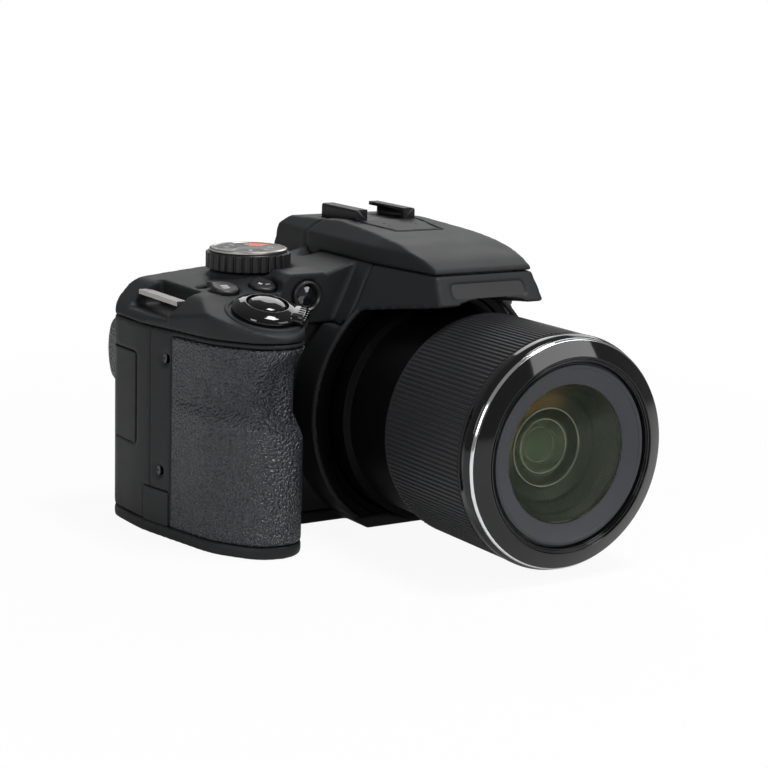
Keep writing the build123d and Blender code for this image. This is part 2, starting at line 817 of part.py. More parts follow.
with BuildPart() as top_form:
    add(upper_outer)
    add(less(less(hump_outer, block((-far, -far, -far), (far, hump_split_y + seam_half, far))),
             block((-far, rear_y, -far), (far, far, finder_floor_z))))
    add(facet_profile([(facet_left, top_seam_z), (facet_left, facet_side_z),
                       (facet_left + facet_slope, facet_z), (facet_break_x + facet_slope, facet_z),
                       (facet_break_x + facet_slope, top_seam_z)], facet_front_y, facet_rear_y))
    add(facet_profile([(facet_break_x, top_seam_z), (facet_break_x, ramp_low_z),
                       (facet_right, lid_seam_z), (facet_right, top_seam_z)],
                      facet_front_y, ramp_rear_y))
    add(block((-far, -far, -far), (far, far, top_seam_z + seam_half)), mode=Mode.SUBTRACT)

with BuildPart() as neck_room:
    add(hump_inner)
    add(block((-far, -far, -far), (far, hump_split_y + wall, far)), mode=Mode.SUBTRACT)
    add(block((-far, rear_y - wall, -far), (far, far, finder_floor_z + wall)), mode=Mode.SUBTRACT)
    add(less(less(block((-far, -far, room_z), (far, far, far)),
                  block((-far, hinge_y + hinge_clear + wall, 0), (far, far, far))),
             block((wall - deck_half, mic_front_y + wall, 0), (deck_half - wall, far, far))),
        mode=Mode.SUBTRACT)

with BuildPart() as mic_skin:
    add(hump_outer)
    add(hump_form(mic_thick), mode=Mode.SUBTRACT)
    add(block((-far, -far, lid_seam_z), (far, shoe_front_y - mic_thick, far)), mode=Mode.INTERSECT)

with BuildPart() as top_cover:
    add(top_form.part)
    add(neck_room.part, mode=Mode.SUBTRACT)
    add(upper_inner, mode=Mode.SUBTRACT)
    add(block((facet_left + 2 * wall, facet_front_y + wall, 0),
              (facet_right, -wall - over, facet_z - wall)), mode=Mode.SUBTRACT)
    add(common(tube(boss_radius, collar_step_radius, boss_front_y, face_y + wall), top_form.part))
    add(disc(throat_rim_radius, boss_front_y, collar_seat_y), mode=Mode.SUBTRACT)
    add(disc(collar_step_radius, boss_front_y, fixed_rear_y), mode=Mode.SUBTRACT)
    add(common(lug_block(lug_inner_x + lug_wall, lug_front_y - lug_wall, lug_rear_y + lug_wall,
                         lug_floor_z - lug_wall), top_form.part))
    add(lug_block(lug_inner_x, lug_front_y, lug_rear_y, lug_floor_z), mode=Mode.SUBTRACT)
    add(less(lid_room(0, hinge_clear), deck_block(0, 0)), mode=Mode.SUBTRACT)
    add(block((-deck_half - over, shoe_front_y - seat_gap, deck_z),
              (deck_half + over, shoe_rear_y + seat_gap, far)), mode=Mode.SUBTRACT)
    add(rod(Plane((mode_x, mode_y, 0)), mode_radius - wall / 2, dial_deck_z - wall,
            mode_low_z - run_gap))
    add(rod(Plane((mode_x, mode_y, 0)), mode_radius + run_gap, mode_low_z - run_gap, far),
        mode=Mode.SUBTRACT)
    add(rod(Plane((mode_x, mode_y, 0)), mode_shaft + run_gap, 0, far), mode=Mode.SUBTRACT)
    add(rod(Plane((command_x, command_y, 0)), axle_radius + wall, command_high_z + run_gap,
            dial_deck_z - wall))
    add(rod(Plane((command_x, command_y, 0)), axle_radius + seat_gap, 0, dial_deck_z - 2 * wall),
        mode=Mode.SUBTRACT)
    add(rod(Plane((command_x, command_y, 0)), command_radius + run_gap, command_low_z - run_gap,
            command_high_z + run_gap), mode=Mode.SUBTRACT)
    add(rod(shutter_plane, ring_neck + run_gap, -2 * wall, over), mode=Mode.SUBTRACT)
    add(rod(slope_plane(burst_x, burst_y), top_button + run_gap, -2 * wall, over), mode=Mode.SUBTRACT)
    add(rod(slope_plane(exposure_x, exposure_y), top_button + run_gap, -2 * wall, over),
        mode=Mode.SUBTRACT)
    add(pad(power_plane, power_slot, power_slot_width, power_slot_width / 2 - seat_gap,
            -wall - over, over), mode=Mode.SUBTRACT)
    add(rod(lamp_plane, bezel_radius + seat_gap, -wall - over, over), mode=Mode.SUBTRACT)
    add(rod(side_place(diopter_x, diopter_y, diopter_z), diopter_radius + run_gap,
            -wall - over, over), mode=Mode.SUBTRACT)
    add(rod(flash_plane, flash_button_radius + run_gap, -wall - over, over), mode=Mode.SUBTRACT)
    add(rod(rear_place(evf_button_x, evf_button_z), evf_button_radius + run_gap, -wall - over, over),
        mode=Mode.SUBTRACT)
    add(pad(window_plane, window_width, window_height, wall, -wall - over, over), mode=Mode.SUBTRACT)
    add(rod(side_place(0, hinge_y, hinge_z), lid_pin + seat_gap, -deck_half - over,
            deck_half + over), mode=Mode.SUBTRACT)
    add(common(mic_skin.part, deck_block(-mic_thick, lid_seam_z)), mode=Mode.SUBTRACT)
top_cover.part.label = "top_cover"
export_step(top_cover.part, "parts/top_cover.step")

with BuildPart() as microphone_plate:
    add(common(mic_skin.part, deck_block(-mic_thick - seat_gap, lid_seam_z)))
    for side in (-1, 1):
        for spot in (mic_front_y / 2, mic_front_y / 3):
            add(rod(Plane((side * mic_front_half * 0.6, spot, 0)), mic_thick / 2, 0, far),
                mode=Mode.SUBTRACT)
microphone_plate.part.label = "microphone_plate"
export_step(microphone_plate.part, "parts/microphone_plate.step")

# Flash lid on its two pins, and the flash lamp under its nose
lid_wall = 1.8
flash_half = 12.0
flash_front_y = -47.4
flash_rear_y = -41.0
flash_low_z = 73.3
flash_high_z = 78.6

with BuildPart() as lid_hollow:
    add(less(hump_inner, deck_block(lid_gap + lid_wall, 0)))
    add(block((-far, -far, 0), (far, hinge_y - hinge_round - run_gap, far)), mode=Mode.INTERSECT)
    add(block((-flash_half, flash_front_y, flash_high_z), (flash_half, flash_rear_y, far)),
        mode=Mode.SUBTRACT)

with BuildPart() as flash_lid:
    add(hump_outer)
    add(lid_room(seam_half, hinge_round), mode=Mode.INTERSECT)
    add(deck_block(lid_gap, 0), mode=Mode.SUBTRACT)
    add(lid_hollow.part, mode=Mode.SUBTRACT)
    add(block((-flash_half - seat_gap, flash_front_y - seat_gap, 0),
              (flash_half + seat_gap, flash_rear_y + seat_gap, flash_high_z)), mode=Mode.SUBTRACT)
    for side in (-1, 1):
        add(rod(side_place(side * (deck_half + lid_gap), hinge_y, hinge_z), lid_pin,
                -lid_pin_length if side > 0 else -wall / 2, wall / 2 if side > 0 else lid_pin_length))
flash_lid.part.label = "flash_lid"
export_step(flash_lid.part, "parts/flash_lid.step")

with BuildPart() as flash_lamp:
    add(block((-flash_half, flash_front_y, flash_low_z), (flash_half, flash_rear_y, flash_high_z)))
    chamfer(flash_lamp.edges().filter_by(Axis.X).sort_by(Axis.Z)[:2], seat_gap * 6)
flash_lamp.part.label = "flash_lamp"
export_step(flash_lamp.part, "parts/flash_lamp.step")

# Accessory shoe on the deck
shoe_half = 10.35
shoe_base = 1.4
shoe_round = 0.8
shoe_slot_half = 9.35
shoe_mouth_half = 6.4
shoe_lip = 1.1

with BuildPart() as hot_shoe:
    add(block((-shoe_half, shoe_front_y, deck_z), (shoe_half, shoe_rear_y, total_height)))
    add(block((-shoe_slot_half, shoe_front_y + shoe_base, deck_z + shoe_base),
              (shoe_slot_half, far, total_height - shoe_lip)), mode=Mode.SUBTRACT)
    add(block((-shoe_mouth_half, -far, deck_z + shoe_base), (shoe_mouth_half, far, far)),
        mode=Mode.SUBTRACT)
    fillet(hot_shoe.edges().filter_by(Axis.Y).group_by(Axis.Z)[-1].group_by(Axis.X)[0], shoe_round)
    fillet(hot_shoe.edges().filter_by(Axis.Y).group_by(Axis.Z)[-1].group_by(Axis.X)[-1], shoe_round)
hot_shoe.part.label = "hot_shoe"
export_step(hot_shoe.part, "parts/hot_shoe.step")

# Eyepiece: rubber cup, lens and the finder tube behind them
with BuildPart() as eyecup:
    add(pad(Plane(origin=(0, hump_rear_y, cup_z), x_dir=(-1, 0, 0), z_dir=(0, 1, 0)), cup_width,
            cup_height, cup_round, 0, cup_rear_y - hump_rear_y))
    fillet(eyecup.faces().sort_by(Axis.Y)[-1].edges(), wall)
    add(pad(window_plane, window_width - wall, window_height - wall, wall, -over, far),
        mode=Mode.SUBTRACT)
eyecup.part.label = "eyecup"
export_step(eyecup.part, "parts/eyecup.step")

with BuildPart() as eyepiece_lens:
    add(pad(window_plane, window_width - 2 * seat_gap, window_height - 2 * seat_gap, wall,
            -wall, -seat_gap))
eyepiece_lens.part.label = "eyepiece_lens"
export_step(eyepiece_lens.part, "parts/eyepiece_lens.step")

with BuildPart() as evf_tube:
    add(block((-tube_half, tube_front_y, tube_low_z),
              (tube_half, hump_rear_y - wall - seat_gap, tube_high_z)))
    add(hump_form(wall + seat_gap), mode=Mode.INTERSECT)
    add(block((wall - tube_half, tube_front_y + wall, tube_low_z + wall),
              (tube_half - wall, far, tube_high_z - wall)), mode=Mode.SUBTRACT)
evf_tube.part.label = "evf_tube"
export_step(evf_tube.part, "parts/evf_tube.step")

# Controls on the top
knurl_count = 30
knurl_depth = 0.5
knurl_width = 0.7
cap_rim = 1.1
cap_seat = 0.6

with BuildPart() as mode_dial:
    add(rod(Plane((mode_x, mode_y, mode_low_z)), mode_radius, 0, mode_high_z - mode_low_z - cap_seat))
    chamfer(mode_dial.faces().sort_by(Axis.Z)[-1].edges(), cap_rim / 2)
    for turn in range(knurl_count):
        angle = 2 * pi * turn / knurl_count
        add(rod(Plane((mode_x + mode_radius * cos(angle), mode_y + mode_radius * sin(angle), 0)),
                knurl_width, mode_low_z + knurl_depth, far), mode=Mode.SUBTRACT)
    add(rod(Plane((mode_x, mode_y, mode_high_z)), mode_radius - cap_rim - knurl_depth,
            -2 * cap_seat, over), mode=Mode.SUBTRACT)
    add(rod(Plane((mode_x, mode_y, 0)), mode_shaft, mode_click_z - mode_click_thick,
            mode_low_z + wall))
    add(rod(Plane((mode_x, mode_y, 0)), mode_click_radius, mode_click_z - mode_click_thick,
            mode_click_z))
mode_dial.part.label = "mode_dial"
export_step(mode_dial.part, "parts/mode_dial.step")

with BuildPart() as mode_dial_cap:
    add(rod(Plane((mode_x, mode_y, mode_high_z)), mode_radius - cap_rim - knurl_depth - seat_gap,
            -2 * cap_seat, 0))
    chamfer(mode_dial_cap.faces().sort_by(Axis.Z)[-1].edges(), cap_seat / 2)
mode_dial_cap.part.label = "mode_dial_cap"
export_step(mode_dial_cap.part, "parts/mode_dial_cap.step")

with BuildPart() as command_dial:
    add(rod(Plane((command_x, command_y, 0)), command_radius, command_low_z, command_high_z))
    for turn in range(knurl_count):
        angle = 2 * pi * turn / knurl_count
        add(rod(Plane((command_x + command_radius * cos(angle),
                       command_y + command_radius * sin(angle), 0)),
                knurl_width / 2, command_low_z - over, far), mode=Mode.SUBTRACT)
    add(rod(Plane((command_x, command_y, 0)), axle_radius, command_low_z,
            dial_deck_z - 2 * wall - run_gap))
command_dial.part.label = "command_dial"
export_step(command_dial.part, "parts/command_dial.step")

with BuildPart() as zoom_lever:
    add(rod(shutter_plane, ring_radius, seat_gap, ring_height))
    chamfer(zoom_lever.faces().sort_by(Axis(shutter_plane.origin, shutter_plane.z_dir))[-1].edges(),
            ring_height / 3)
    with BuildSketch(tab_plane.offset(seat_gap)):
        with Locations((ring_radius / 2 + tab_reach / 2 - wall, 0)):
            RectangleRounded(tab_reach - ring_radius / 2, tab_width, wall)
    extrude(amount=ring_height - wall / 4)
    add(rod(shutter_plane, ring_neck, -wall - run_gap, seat_gap))
    add(rod(shutter_plane, shutter_radius + seat_gap, -far / 2, far / 2), mode=Mode.SUBTRACT)
zoom_lever.part.label = "zoom_lever"
export_step(zoom_lever.part, "parts/zoom_lever.step")

with BuildPart() as shutter_button:
    add(rod(shutter_plane, shutter_radius, -wall - run_gap, shutter_proud))
    fillet(shutter_button.faces().sort_by(Axis(shutter_plane.origin, shutter_plane.z_dir))[-1].edges(),
           wall / 2)
shutter_button.part.label = "shutter_button"
export_step(shutter_button.part, "parts/shutter_button.step")

with BuildPart() as burst_button:
    add(push_button(slope_plane(burst_x, burst_y), top_button, top_button_proud, slope_drop))
burst_button.part.label = "burst_button"
export_step(burst_button.part, "parts/burst_button.step")

with BuildPart() as exposure_button:
    add(push_button(slope_plane(exposure_x, exposure_y), top_button, top_button_proud,
                    slope_drop))
exposure_button.part.label = "exposure_button"
export_step(exposure_button.part, "parts/exposure_button.step")

with BuildPart() as power_switch:
    knob_plane = power_plane.shift_origin(power_plane.from_local_coords((power_travel / 2, 0, 0)))
    add(pad(knob_plane, power_slot - power_travel - 2 * run_gap, power_slot_width - 2 * run_gap,
            wall / 2, -wall - run_gap - power_plate, top_button_proud))
    add(pad(knob_plane, power_slot - power_travel, power_slot_width + wall / 2, wall / 2,
            -wall - run_gap - power_plate, -wall - run_gap))
power_switch.part.label = "power_switch"
export_step(power_switch.part, "parts/power_switch.step")

with BuildPart() as diopter_wheel:
    add(rod(side_place(diopter_x, diopter_y, diopter_z), diopter_radius, -diopter_thick,
            top_button_proud))
    chamfer(diopter_wheel.faces().sort_by(Axis.X)[-1].edges(), top_button_proud / 2)
diopter_wheel.part.label = "diopter_wheel"
export_step(diopter_wheel.part, "parts/diopter_wheel.step")

with BuildPart() as flash_button:
    add(push_button(flash_plane, flash_button_radius, top_button_proud))
flash_button.part.label = "flash_button"
export_step(flash_button.part, "parts/flash_button.step")

with BuildPart() as evf_button:
    add(push_button(rear_place(evf_button_x, evf_button_z), evf_button_radius, top_button_proud))
evf_button.part.label = "evf_button"
export_step(evf_button.part, "parts/evf_button.step")

with BuildPart() as strap_lugs:
    for x in (lug_bar_x, right_side + left_side - lug_bar_x):
        add(block((x - lug_bar_width / 2, lug_front_y, lug_bar_z - lug_bar_thick),
                  (x + lug_bar_width / 2, lug_rear_y, lug_bar_z)))
strap_lugs.part.label = "strap_lugs"
export_step(strap_lugs.part, "parts/strap_lugs.step")

with BuildPart() as af_lamp_bezel:
    add(rod(lamp_plane, bezel_radius, -wall, wall / 2))
    add(rod(lamp_plane, lamp_radius, -over - wall, over + wall), mode=Mode.SUBTRACT)
    chamfer(af_lamp_bezel.faces().sort_by(Axis.Y)[0].edges(), wall / 5)
af_lamp_bezel.part.label = "af_lamp_bezel"
export_step(af_lamp_bezel.part, "parts/af_lamp_bezel.step")

with BuildPart() as af_lamp_lens:
    add(rod(lamp_plane, lamp_radius - seat_gap, -wall, wall / 3))
    fillet(af_lamp_lens.faces().sort_by(Axis.Y)[0].edges(), wall / 2)
af_lamp_lens.part.label = "af_lamp_lens"
export_step(af_lamp_lens.part, "parts/af_lamp_lens.step")

# Controls on the back
with BuildPart() as playback_button:
    add(push_button(rear_place(playback_x, playback_z), small_button, top_button_proud))
playback_button.part.label = "playback_button"
export_step(playback_button.part, "parts/playback_button.step")

with BuildPart() as movie_button:
    add(push_button(rear_place(playback_x, movie_z), small_button, top_button_proud))
movie_button.part.label = "movie_button"
export_step(movie_button.part, "parts/movie_button.step")

with BuildPart() as display_button:
    add(push_button(rear_place(display_x, display_z), small_button, top_button_proud))
display_button.part.label = "display_button"
export_step(display_button.part, "parts/display_button.step")

with BuildPart() as selector_ring:
    add(rod(rear_place(selector_x, selector_z), selector_radius, seat_gap - wall / 4, wall))
    fillet(selector_ring.faces().sort_by(Axis.Y)[-1].edges(), wall / 3)
    add(rod(rear_place(selector_x, selector_z), ok_radius + wall - run_gap,
            -wall - run_gap - button_flange, seat_gap))
    add(rod(rear_place(selector_x, selector_z), ok_radius + run_gap, -far / 2, far / 2),
        mode=Mode.SUBTRACT)
selector_ring.part.label = "selector_ring"
export_step(selector_ring.part, "parts/selector_ring.step")

with BuildPart() as ok_button:
    add(rod(rear_place(selector_x, selector_z), ok_radius, -wall - run_gap, wall))
    fillet(ok_button.faces().sort_by(Axis.Y)[-1].edges(), wall / 4)
ok_button.part.label = "ok_button"
export_step(ok_button.part, "parts/ok_button.step")

# Tilting display: bracket, shell and window
bracket_rear_y = 19.9
bracket_front_y = 18.9
bracket_low_z = 16.0
arm_gap = 0.3
arm_thick = 1.4
arm_low_z = 7.4
arm_high_z = 57.0
arm_rear_y = 25.8
glass_inset = 3.6
glass_thick = 1.0

with BuildPart() as lcd_bracket:
    add(block((lcd_left - arm_gap - arm_thick, bracket_front_y, bracket_low_z),
              (lcd_right + arm_gap + arm_thick, bracket_rear_y, lcd_top_axis_z)))
    for inner, outer in ((lcd_left - arm_gap, lcd_left - arm_gap - arm_thick),
                         (lcd_right + arm_gap, lcd_right + arm_gap + arm_thick)):
        add(block((min(inner, outer), bracket_front_y, arm_low_z),
                  (max(inner, outer), arm_rear_y, arm_high_z)))
    fillet(lcd_bracket.edges().filter_by(Axis.X).filter_by(
        lambda edge: edge.length < 2 * arm_thick), wall / 2)
    add(rod(side_place(lcd_mid_x, lcd_axis_y, lcd_top_axis_z), pin_radius,
            lcd_left - lcd_mid_x - recess_side - pin_length + seat_gap, lcd_left - lcd_mid_x - arm_gap))
    add(rod(side_place(lcd_mid_x, lcd_axis_y, lcd_top_axis_z), pin_radius,
            lcd_right - lcd_mid_x + arm_gap, lcd_right - lcd_mid_x + recess_side + pin_length - seat_gap))
    add(rod(side_place(lcd_mid_x, lcd_axis_y, lcd_foot_axis_z), pin_radius + seat_gap, -far, far),
        mode=Mode.SUBTRACT)
lcd_bracket.part.label = "lcd_bracket"
export_step(lcd_bracket.part, "parts/lcd_bracket.step")

with BuildPart() as lcd_shell:
    add(block((lcd_left, lcd_front_y, lcd_low), (lcd_right, lcd_rear_y, lcd_high)))
    fillet(lcd_shell.edges().filter_by(Axis.Y), wall)
    fillet(lcd_shell.faces().sort_by(Axis.Y)[-1].edges(), wall / 2)
    add(pad(Plane(origin=(lcd_mid_x, lcd_rear_y, lcd_mid_z), x_dir=(-1, 0, 0), z_dir=(0, 1, 0)),
            lcd_right - lcd_left - 2 * glass_inset, lcd_high - lcd_low - 2 * glass_inset,
            wall / 2, -glass_thick, over), mode=Mode.SUBTRACT)
    add(rod(side_place(lcd_mid_x, lcd_axis_y, lcd_foot_axis_z), pin_radius,
            lcd_left - lcd_mid_x - arm_gap - arm_thick, lcd_left - lcd_mid_x + wall / 2))
    add(rod(side_place(lcd_mid_x, lcd_axis_y, lcd_foot_axis_z), pin_radius,
            lcd_right - lcd_mid_x - wall / 2, lcd_right - lcd_mid_x + arm_gap + arm_thick))
lcd_shell.part.label = "lcd_shell"
export_step(lcd_shell.part, "parts/lcd_shell.step")

with BuildPart() as lcd_window:
    add(pad(Plane(origin=(lcd_mid_x, lcd_rear_y, lcd_mid_z), x_dir=(-1, 0, 0), z_dir=(0, 1, 0)),
            lcd_right - lcd_left - 2 * glass_inset - 2 * seat_gap,
            lcd_high - lcd_low - 2 * glass_inset - 2 * seat_gap, wall / 2, -glass_thick, -seat_gap))
lcd_window.part.label = "lcd_window"
export_step(lcd_window.part, "parts/lcd_window.step")

# Covers on the side and the base
latch_width = 3.0
latch_length = 7.0
latch_travel = 2.5
latch_x = door_left + 3 * wall

with BuildPart() as connector_cover:
    add(side_skin(connector_front_y, connector_rear_y, connector_low_z, connector_high_z, flap_depth))
connector_cover.part.label = "connector_cover"
export_step(connector_cover.part, "parts/connector_cover.step")

with BuildPart() as dc_flap:
    add(side_skin(dc_front_y, dc_rear_y, dc_low_z, dc_high_z, flap_depth))
dc_flap.part.label = "dc_flap"
export_step(dc_flap.part, "parts/dc_flap.step")

with BuildPart() as battery_door:
    add(pad(door_plane, door_right - door_left, door_rear_y - door_front_y, door_round,
            0, door_thick))
    add(block((latch_x - latch_width / 2, -latch_length / 2 - latch_travel, -over),
              (latch_x + latch_width / 2, latch_length / 2, door_thick / 2)), mode=Mode.SUBTRACT)
battery_door.part.label = "battery_door"
export_step(battery_door.part, "parts/battery_door.step")

with BuildPart() as battery_latch:
    add(block((latch_x - latch_width / 2 + seat_gap, -latch_length / 2, seat_gap),
              (latch_x + latch_width / 2 - seat_gap, latch_length / 2 - seat_gap,
               door_thick / 2 - seat_gap / 2)))
battery_latch.part.label = "battery_latch"
export_step(battery_latch.part, "parts/battery_latch.step")

# Lens barrels from the body outwards
collar_radius = throat_rim_radius - seat_gap
collar_front_y = -24.5
collar_inner_y = -23.5
collar_inner_radius = 32.7
collar_rear_y = -14.0
fixed_wall = 1.2
barrel_gap = 0.2
middle_wall = 1.1
middle_radius = fixed_radius - fixed_wall - barrel_gap
inner_radius = middle_radius - middle_wall - barrel_gap
inner_wall = 1.1
sleeve_inner_radius = fixed_radius + run_gap
ring_seat_y = -87.4
front_wall_y = -84.0
front_ring_radius = 32.0
ring_face_radius = 31.3
rim_radius = 30.9
cone_front_y = -93.8
cone_radius = 26.7
step_radius = 25.05
baffle_radius = 23.4
baffle_y = -93.0
glass_y = -91.1
glass_rear_y = -82.0

with BuildPart() as lens_collar:
    add(turned([(collar_inner_radius, collar_inner_y), (collar_step_radius, collar_inner_y),
                (collar_step_radius + seat_gap, collar_front_y), (collar_radius, collar_front_y),
                (collar_radius, collar_seat_y - seat_gap),
                (collar_step_radius - seat_gap, collar_seat_y - seat_gap),
                (collar_step_radius - seat_gap, collar_rear_y), (collar_inner_radius, collar_rear_y)]))
    add(block((-far, -far, -far), (far, far, band_height + seam_gap)), mode=Mode.SUBTRACT)
lens_collar.part.label = "lens_collar"
export_step(lens_collar.part, "parts/lens_collar.step")

with BuildPart() as fixed_barrel:
    add(tube(fixed_radius, fixed_radius - fixed_wall, fixed_front_y, fixed_rear_y))
    add(turned([(fixed_radius - fixed_wall, ridge_front_y), (ridge_radius, ridge_front_y + wall / 4),
                (ridge_radius, ridge_rear_y), (fixed_radius - fixed_wall, ridge_rear_y)]))
fixed_barrel.part.label = "fixed_barrel"
export_step(fixed_barrel.part, "parts/fixed_barrel.step")

with BuildPart() as middle_barrel:
    add(tube(middle_radius, middle_radius - middle_wall, middle_front_y, middle_rear_y))
middle_barrel.part.label = "middle_barrel"
export_step(middle_barrel.part, "parts/middle_barrel.step")

with BuildPart() as ribbed_barrel:
    add(tube(barrel_radius, sleeve_inner_radius, ring_seat_y, rib_rear_y))
    add(tube(barrel_radius, inner_radius - inner_wall, ring_seat_y, front_wall_y))
    add(tube(inner_radius, inner_radius - inner_wall, ring_seat_y, inner_rear_y))
ribbed_barrel.part.label = "ribbed_barrel"
export_step(ribbed_barrel.part, "parts/ribbed_barrel.step")

with BuildPart() as front_ring:
    add(turned([(cone_radius, ring_seat_y), (front_ring_radius, ring_seat_y),
                (front_ring_radius, ring_seat_y - wall),
                (ring_face_radius + seat_gap, chrome_y + wall / 4), (cone_radius, chrome_y + wall / 4)]))
front_ring.part.label = "front_ring"
export_step(front_ring.part, "parts/front_ring.step")

with BuildPart() as chrome_ring:
    add(turned([(cone_radius, chrome_y + wall / 4), (ring_face_radius, chrome_y + wall / 4),
                (ring_face_radius, chrome_y), (rim_radius, chrome_y - wall / 4),
                (cone_radius, chrome_y - wall / 4)]))
chrome_ring.part.label = "chrome_ring"
export_step(chrome_ring.part, "parts/chrome_ring.step")

with BuildPart() as name_ring:
    add(turned([(step_radius, chrome_y - wall / 4), (rim_radius - seat_gap, chrome_y - wall / 4),
                (rim_radius - seat_gap, chrome_y - 2 * wall / 5), (cone_radius, cone_front_y),
                (cone_radius - wall / 4, cone_front_y), (step_radius, baffle_y)]))
name_ring.part.label = "name_ring"
export_step(name_ring.part, "parts/name_ring.step")

with BuildPart() as front_baffle:
    add(turned([(glass_radius, glass_y), (baffle_radius, baffle_y), (step_radius - seat_gap, baffle_y),
                (step_radius - seat_gap, ring_seat_y), (inner_radius - inner_wall - seat_gap, ring_seat_y),
                (inner_radius - inner_wall - seat_gap, front_wall_y), (glass_radius, front_wall_y)]))
front_baffle.part.label = "front_baffle"
export_step(front_baffle.part, "parts/front_baffle.step")

glass_bow = 2.2
glass_ball = (glass_radius ** 2 + glass_bow ** 2) / (2 * glass_bow)

with BuildPart() as front_element:
    add(disc(glass_radius - seat_gap, glass_y - glass_bow + wall, glass_rear_y))
    with BuildSketch(Plane.XY.offset(axis_height)):
        with BuildLine():
            ThreePointArc((0, glass_y - glass_bow),
                          ((glass_radius - seat_gap) / 2,
                           glass_y - glass_bow + glass_ball
                           - (glass_ball ** 2 - (glass_radius / 2) ** 2) ** 0.5),
                          (glass_radius - seat_gap, glass_y))
            Polyline((glass_radius - seat_gap, glass_y), (glass_radius - seat_gap, glass_rear_y),
                     (0, glass_rear_y), (0, glass_y - glass_bow))
        make_face()
    revolve(axis=Axis((0, 0, axis_height), (0, 1, 0)))
front_element.part.label = "front_element"
export_step(front_element.part, "parts/front_element.step")

# Inside: lens cells, sensor, frame, boards, capacitor and battery
cell_radius = inner_radius - inner_wall - run_gap
zoom_front_y = -62.0
zoom_rear_y = -54.0
iris_front_y = -40.0
iris_rear_y = -36.0
focus_front_y = -17.0
focus_rear_y = -12.6
focus_radius = 9.0
guide_radius = 0.8
guide_reach = -22.0
frame_left = -44.0
frame_right = 38.0
frame_low_z = 9.0
frame_high_z = 58.0
frame_rear_y = -7.2
frame_bore = 11.0
sensor_width = 12.0
sensor_height = 10.0
sensor_rear_y = -3.8
standoff_radius = 1.8
board_left = -40.0
board_right = 34.0
board_low_z = 9.0
board_high_z = 56.0
capacitor_radius = 5.4
capacitor_length = 28.0
capacitor_x = 14.0
capacitor_z = 46.0
battery_left = -67.0
battery_right = -54.0
battery_front_y = -24.0
battery_rear_y = 9.0
battery_height = 52.0


def lens_cell(front, rear, radius, bore):
    """Mount ring with its lens group."""
    with BuildPart() as solid:
        add(tube(radius, bore, front, rear))
        add(disc(bore + over / 2, front + (rear - front) / 4, rear - (rear - front) / 4))
    return solid.part


with BuildPart() as zoom_cell:
    add(lens_cell(zoom_front_y, zoom_rear_y, cell_radius, cell_radius - 3 * wall))
zoom_cell.part.label = "zoom_cell"
export_step(zoom_cell.part, "parts/zoom_cell.step")

with BuildPart() as iris_unit:
    add(tube(cell_radius, guide_radius * 5, iris_front_y, iris_rear_y))
iris_unit.part.label = "iris_unit"
export_step(iris_unit.part, "parts/iris_unit.step")

with BuildPart() as focus_cell:
    add(lens_cell(focus_front_y, focus_rear_y, focus_radius, focus_radius - wall))
    for side in (-1, 1):
        add(rod(Plane(origin=(side * focus_radius, focus_front_y, axis_height), x_dir=(1, 0, 0),
                      z_dir=(0, 1, 0)), 3 * guide_radius, 0, focus_rear_y - focus_front_y))
    for side in (-1, 1):
        add(rod(Plane(origin=(side * (focus_radius + guide_radius), focus_front_y, axis_height),
                      x_dir=(1, 0, 0), z_dir=(0, 1, 0)), guide_radius + seat_gap, -over,
                focus_rear_y - focus_front_y + over), mode=Mode.SUBTRACT)
focus_cell.part.label = "focus_cell"
export_step(focus_cell.part, "parts/focus_cell.step")

with BuildPart() as chassis_frame:
    add(block((frame_left, fixed_rear_y, frame_low_z), (frame_right, frame_rear_y, frame_high_z)))
    add(disc(frame_bore - 2 * wall, -far, far), mode=Mode.SUBTRACT)
    for side in (-1, 1):
        add(rod(Plane(origin=(side * (focus_radius + guide_radius), guide_reach, axis_height),
                      x_dir=(1, 0, 0), z_dir=(0, 1, 0)), guide_radius, 0, frame_rear_y - guide_reach))
    for x in (post_x_left + wall, post_x_right - 2 * wall):
        for z in (post_z_low, post_z_high):
            add(rod(Plane(origin=(x, frame_rear_y, z), x_dir=(-1, 0, 0), z_dir=(0, 1, 0)),
                    standoff_radius, -wall / 2, board_y - board_thick - frame_rear_y))
chassis_frame.part.label = "chassis_frame"
export_step(chassis_frame.part, "parts/chassis_frame.step")

with BuildPart() as image_sensor:
    add(block((-sensor_width, frame_rear_y, axis_height - sensor_height),
              (sensor_width, sensor_rear_y, axis_height + sensor_height)))
image_sensor.part.label = "image_sensor"
export_step(image_sensor.part, "parts/image_sensor.step")

with BuildPart() as main_board:
    add(block((board_left, board_y - board_thick, board_low_z), (board_right, board_y, board_high_z)))
main_board.part.label = "main_board"
export_step(main_board.part, "parts/main_board.step")

with BuildPart() as flash_capacitor:
    add(rod(side_place(capacitor_x, board_y - board_thick - seat_gap - capacitor_radius, capacitor_z),
            capacitor_radius, -capacitor_length / 2, capacitor_length / 2))
flash_capacitor.part.label = "flash_capacitor"
export_step(flash_capacitor.part, "parts/flash_capacitor.step")

with BuildPart() as battery:
    add(block((battery_left, battery_front_y, door_thick + seat_gap),
              (battery_right, battery_rear_y, battery_height)))
    fillet(battery.edges().filter_by(Axis.Z), wall)
battery.part.label = "battery"
export_step(battery.part, "parts/battery.step")

with BuildPart() as case_screws:
    for place, height in ((screw_upper_y, screw_upper_z), (screw_lower_y, screw_lower_z)):
        add(rod(side_screw_plane(place, height), screw_head, seat_gap - screw_head_thick, -seat_gap))
        add(rod(side_screw_plane(place, height), screw_shank, seat_gap - screw_length,
                seat_gap - screw_head_thick))
    for x, y in base_screws:
        add(rod(Plane((x, y, 0)), base_screw_head, seat_gap, floor_thick))
        add(rod(Plane((x, y, 0)), screw_shank, floor_thick, screw_length))
case_screws.part.label = "case_screws"
export_step(case_screws.part, "parts/case_screws.step")
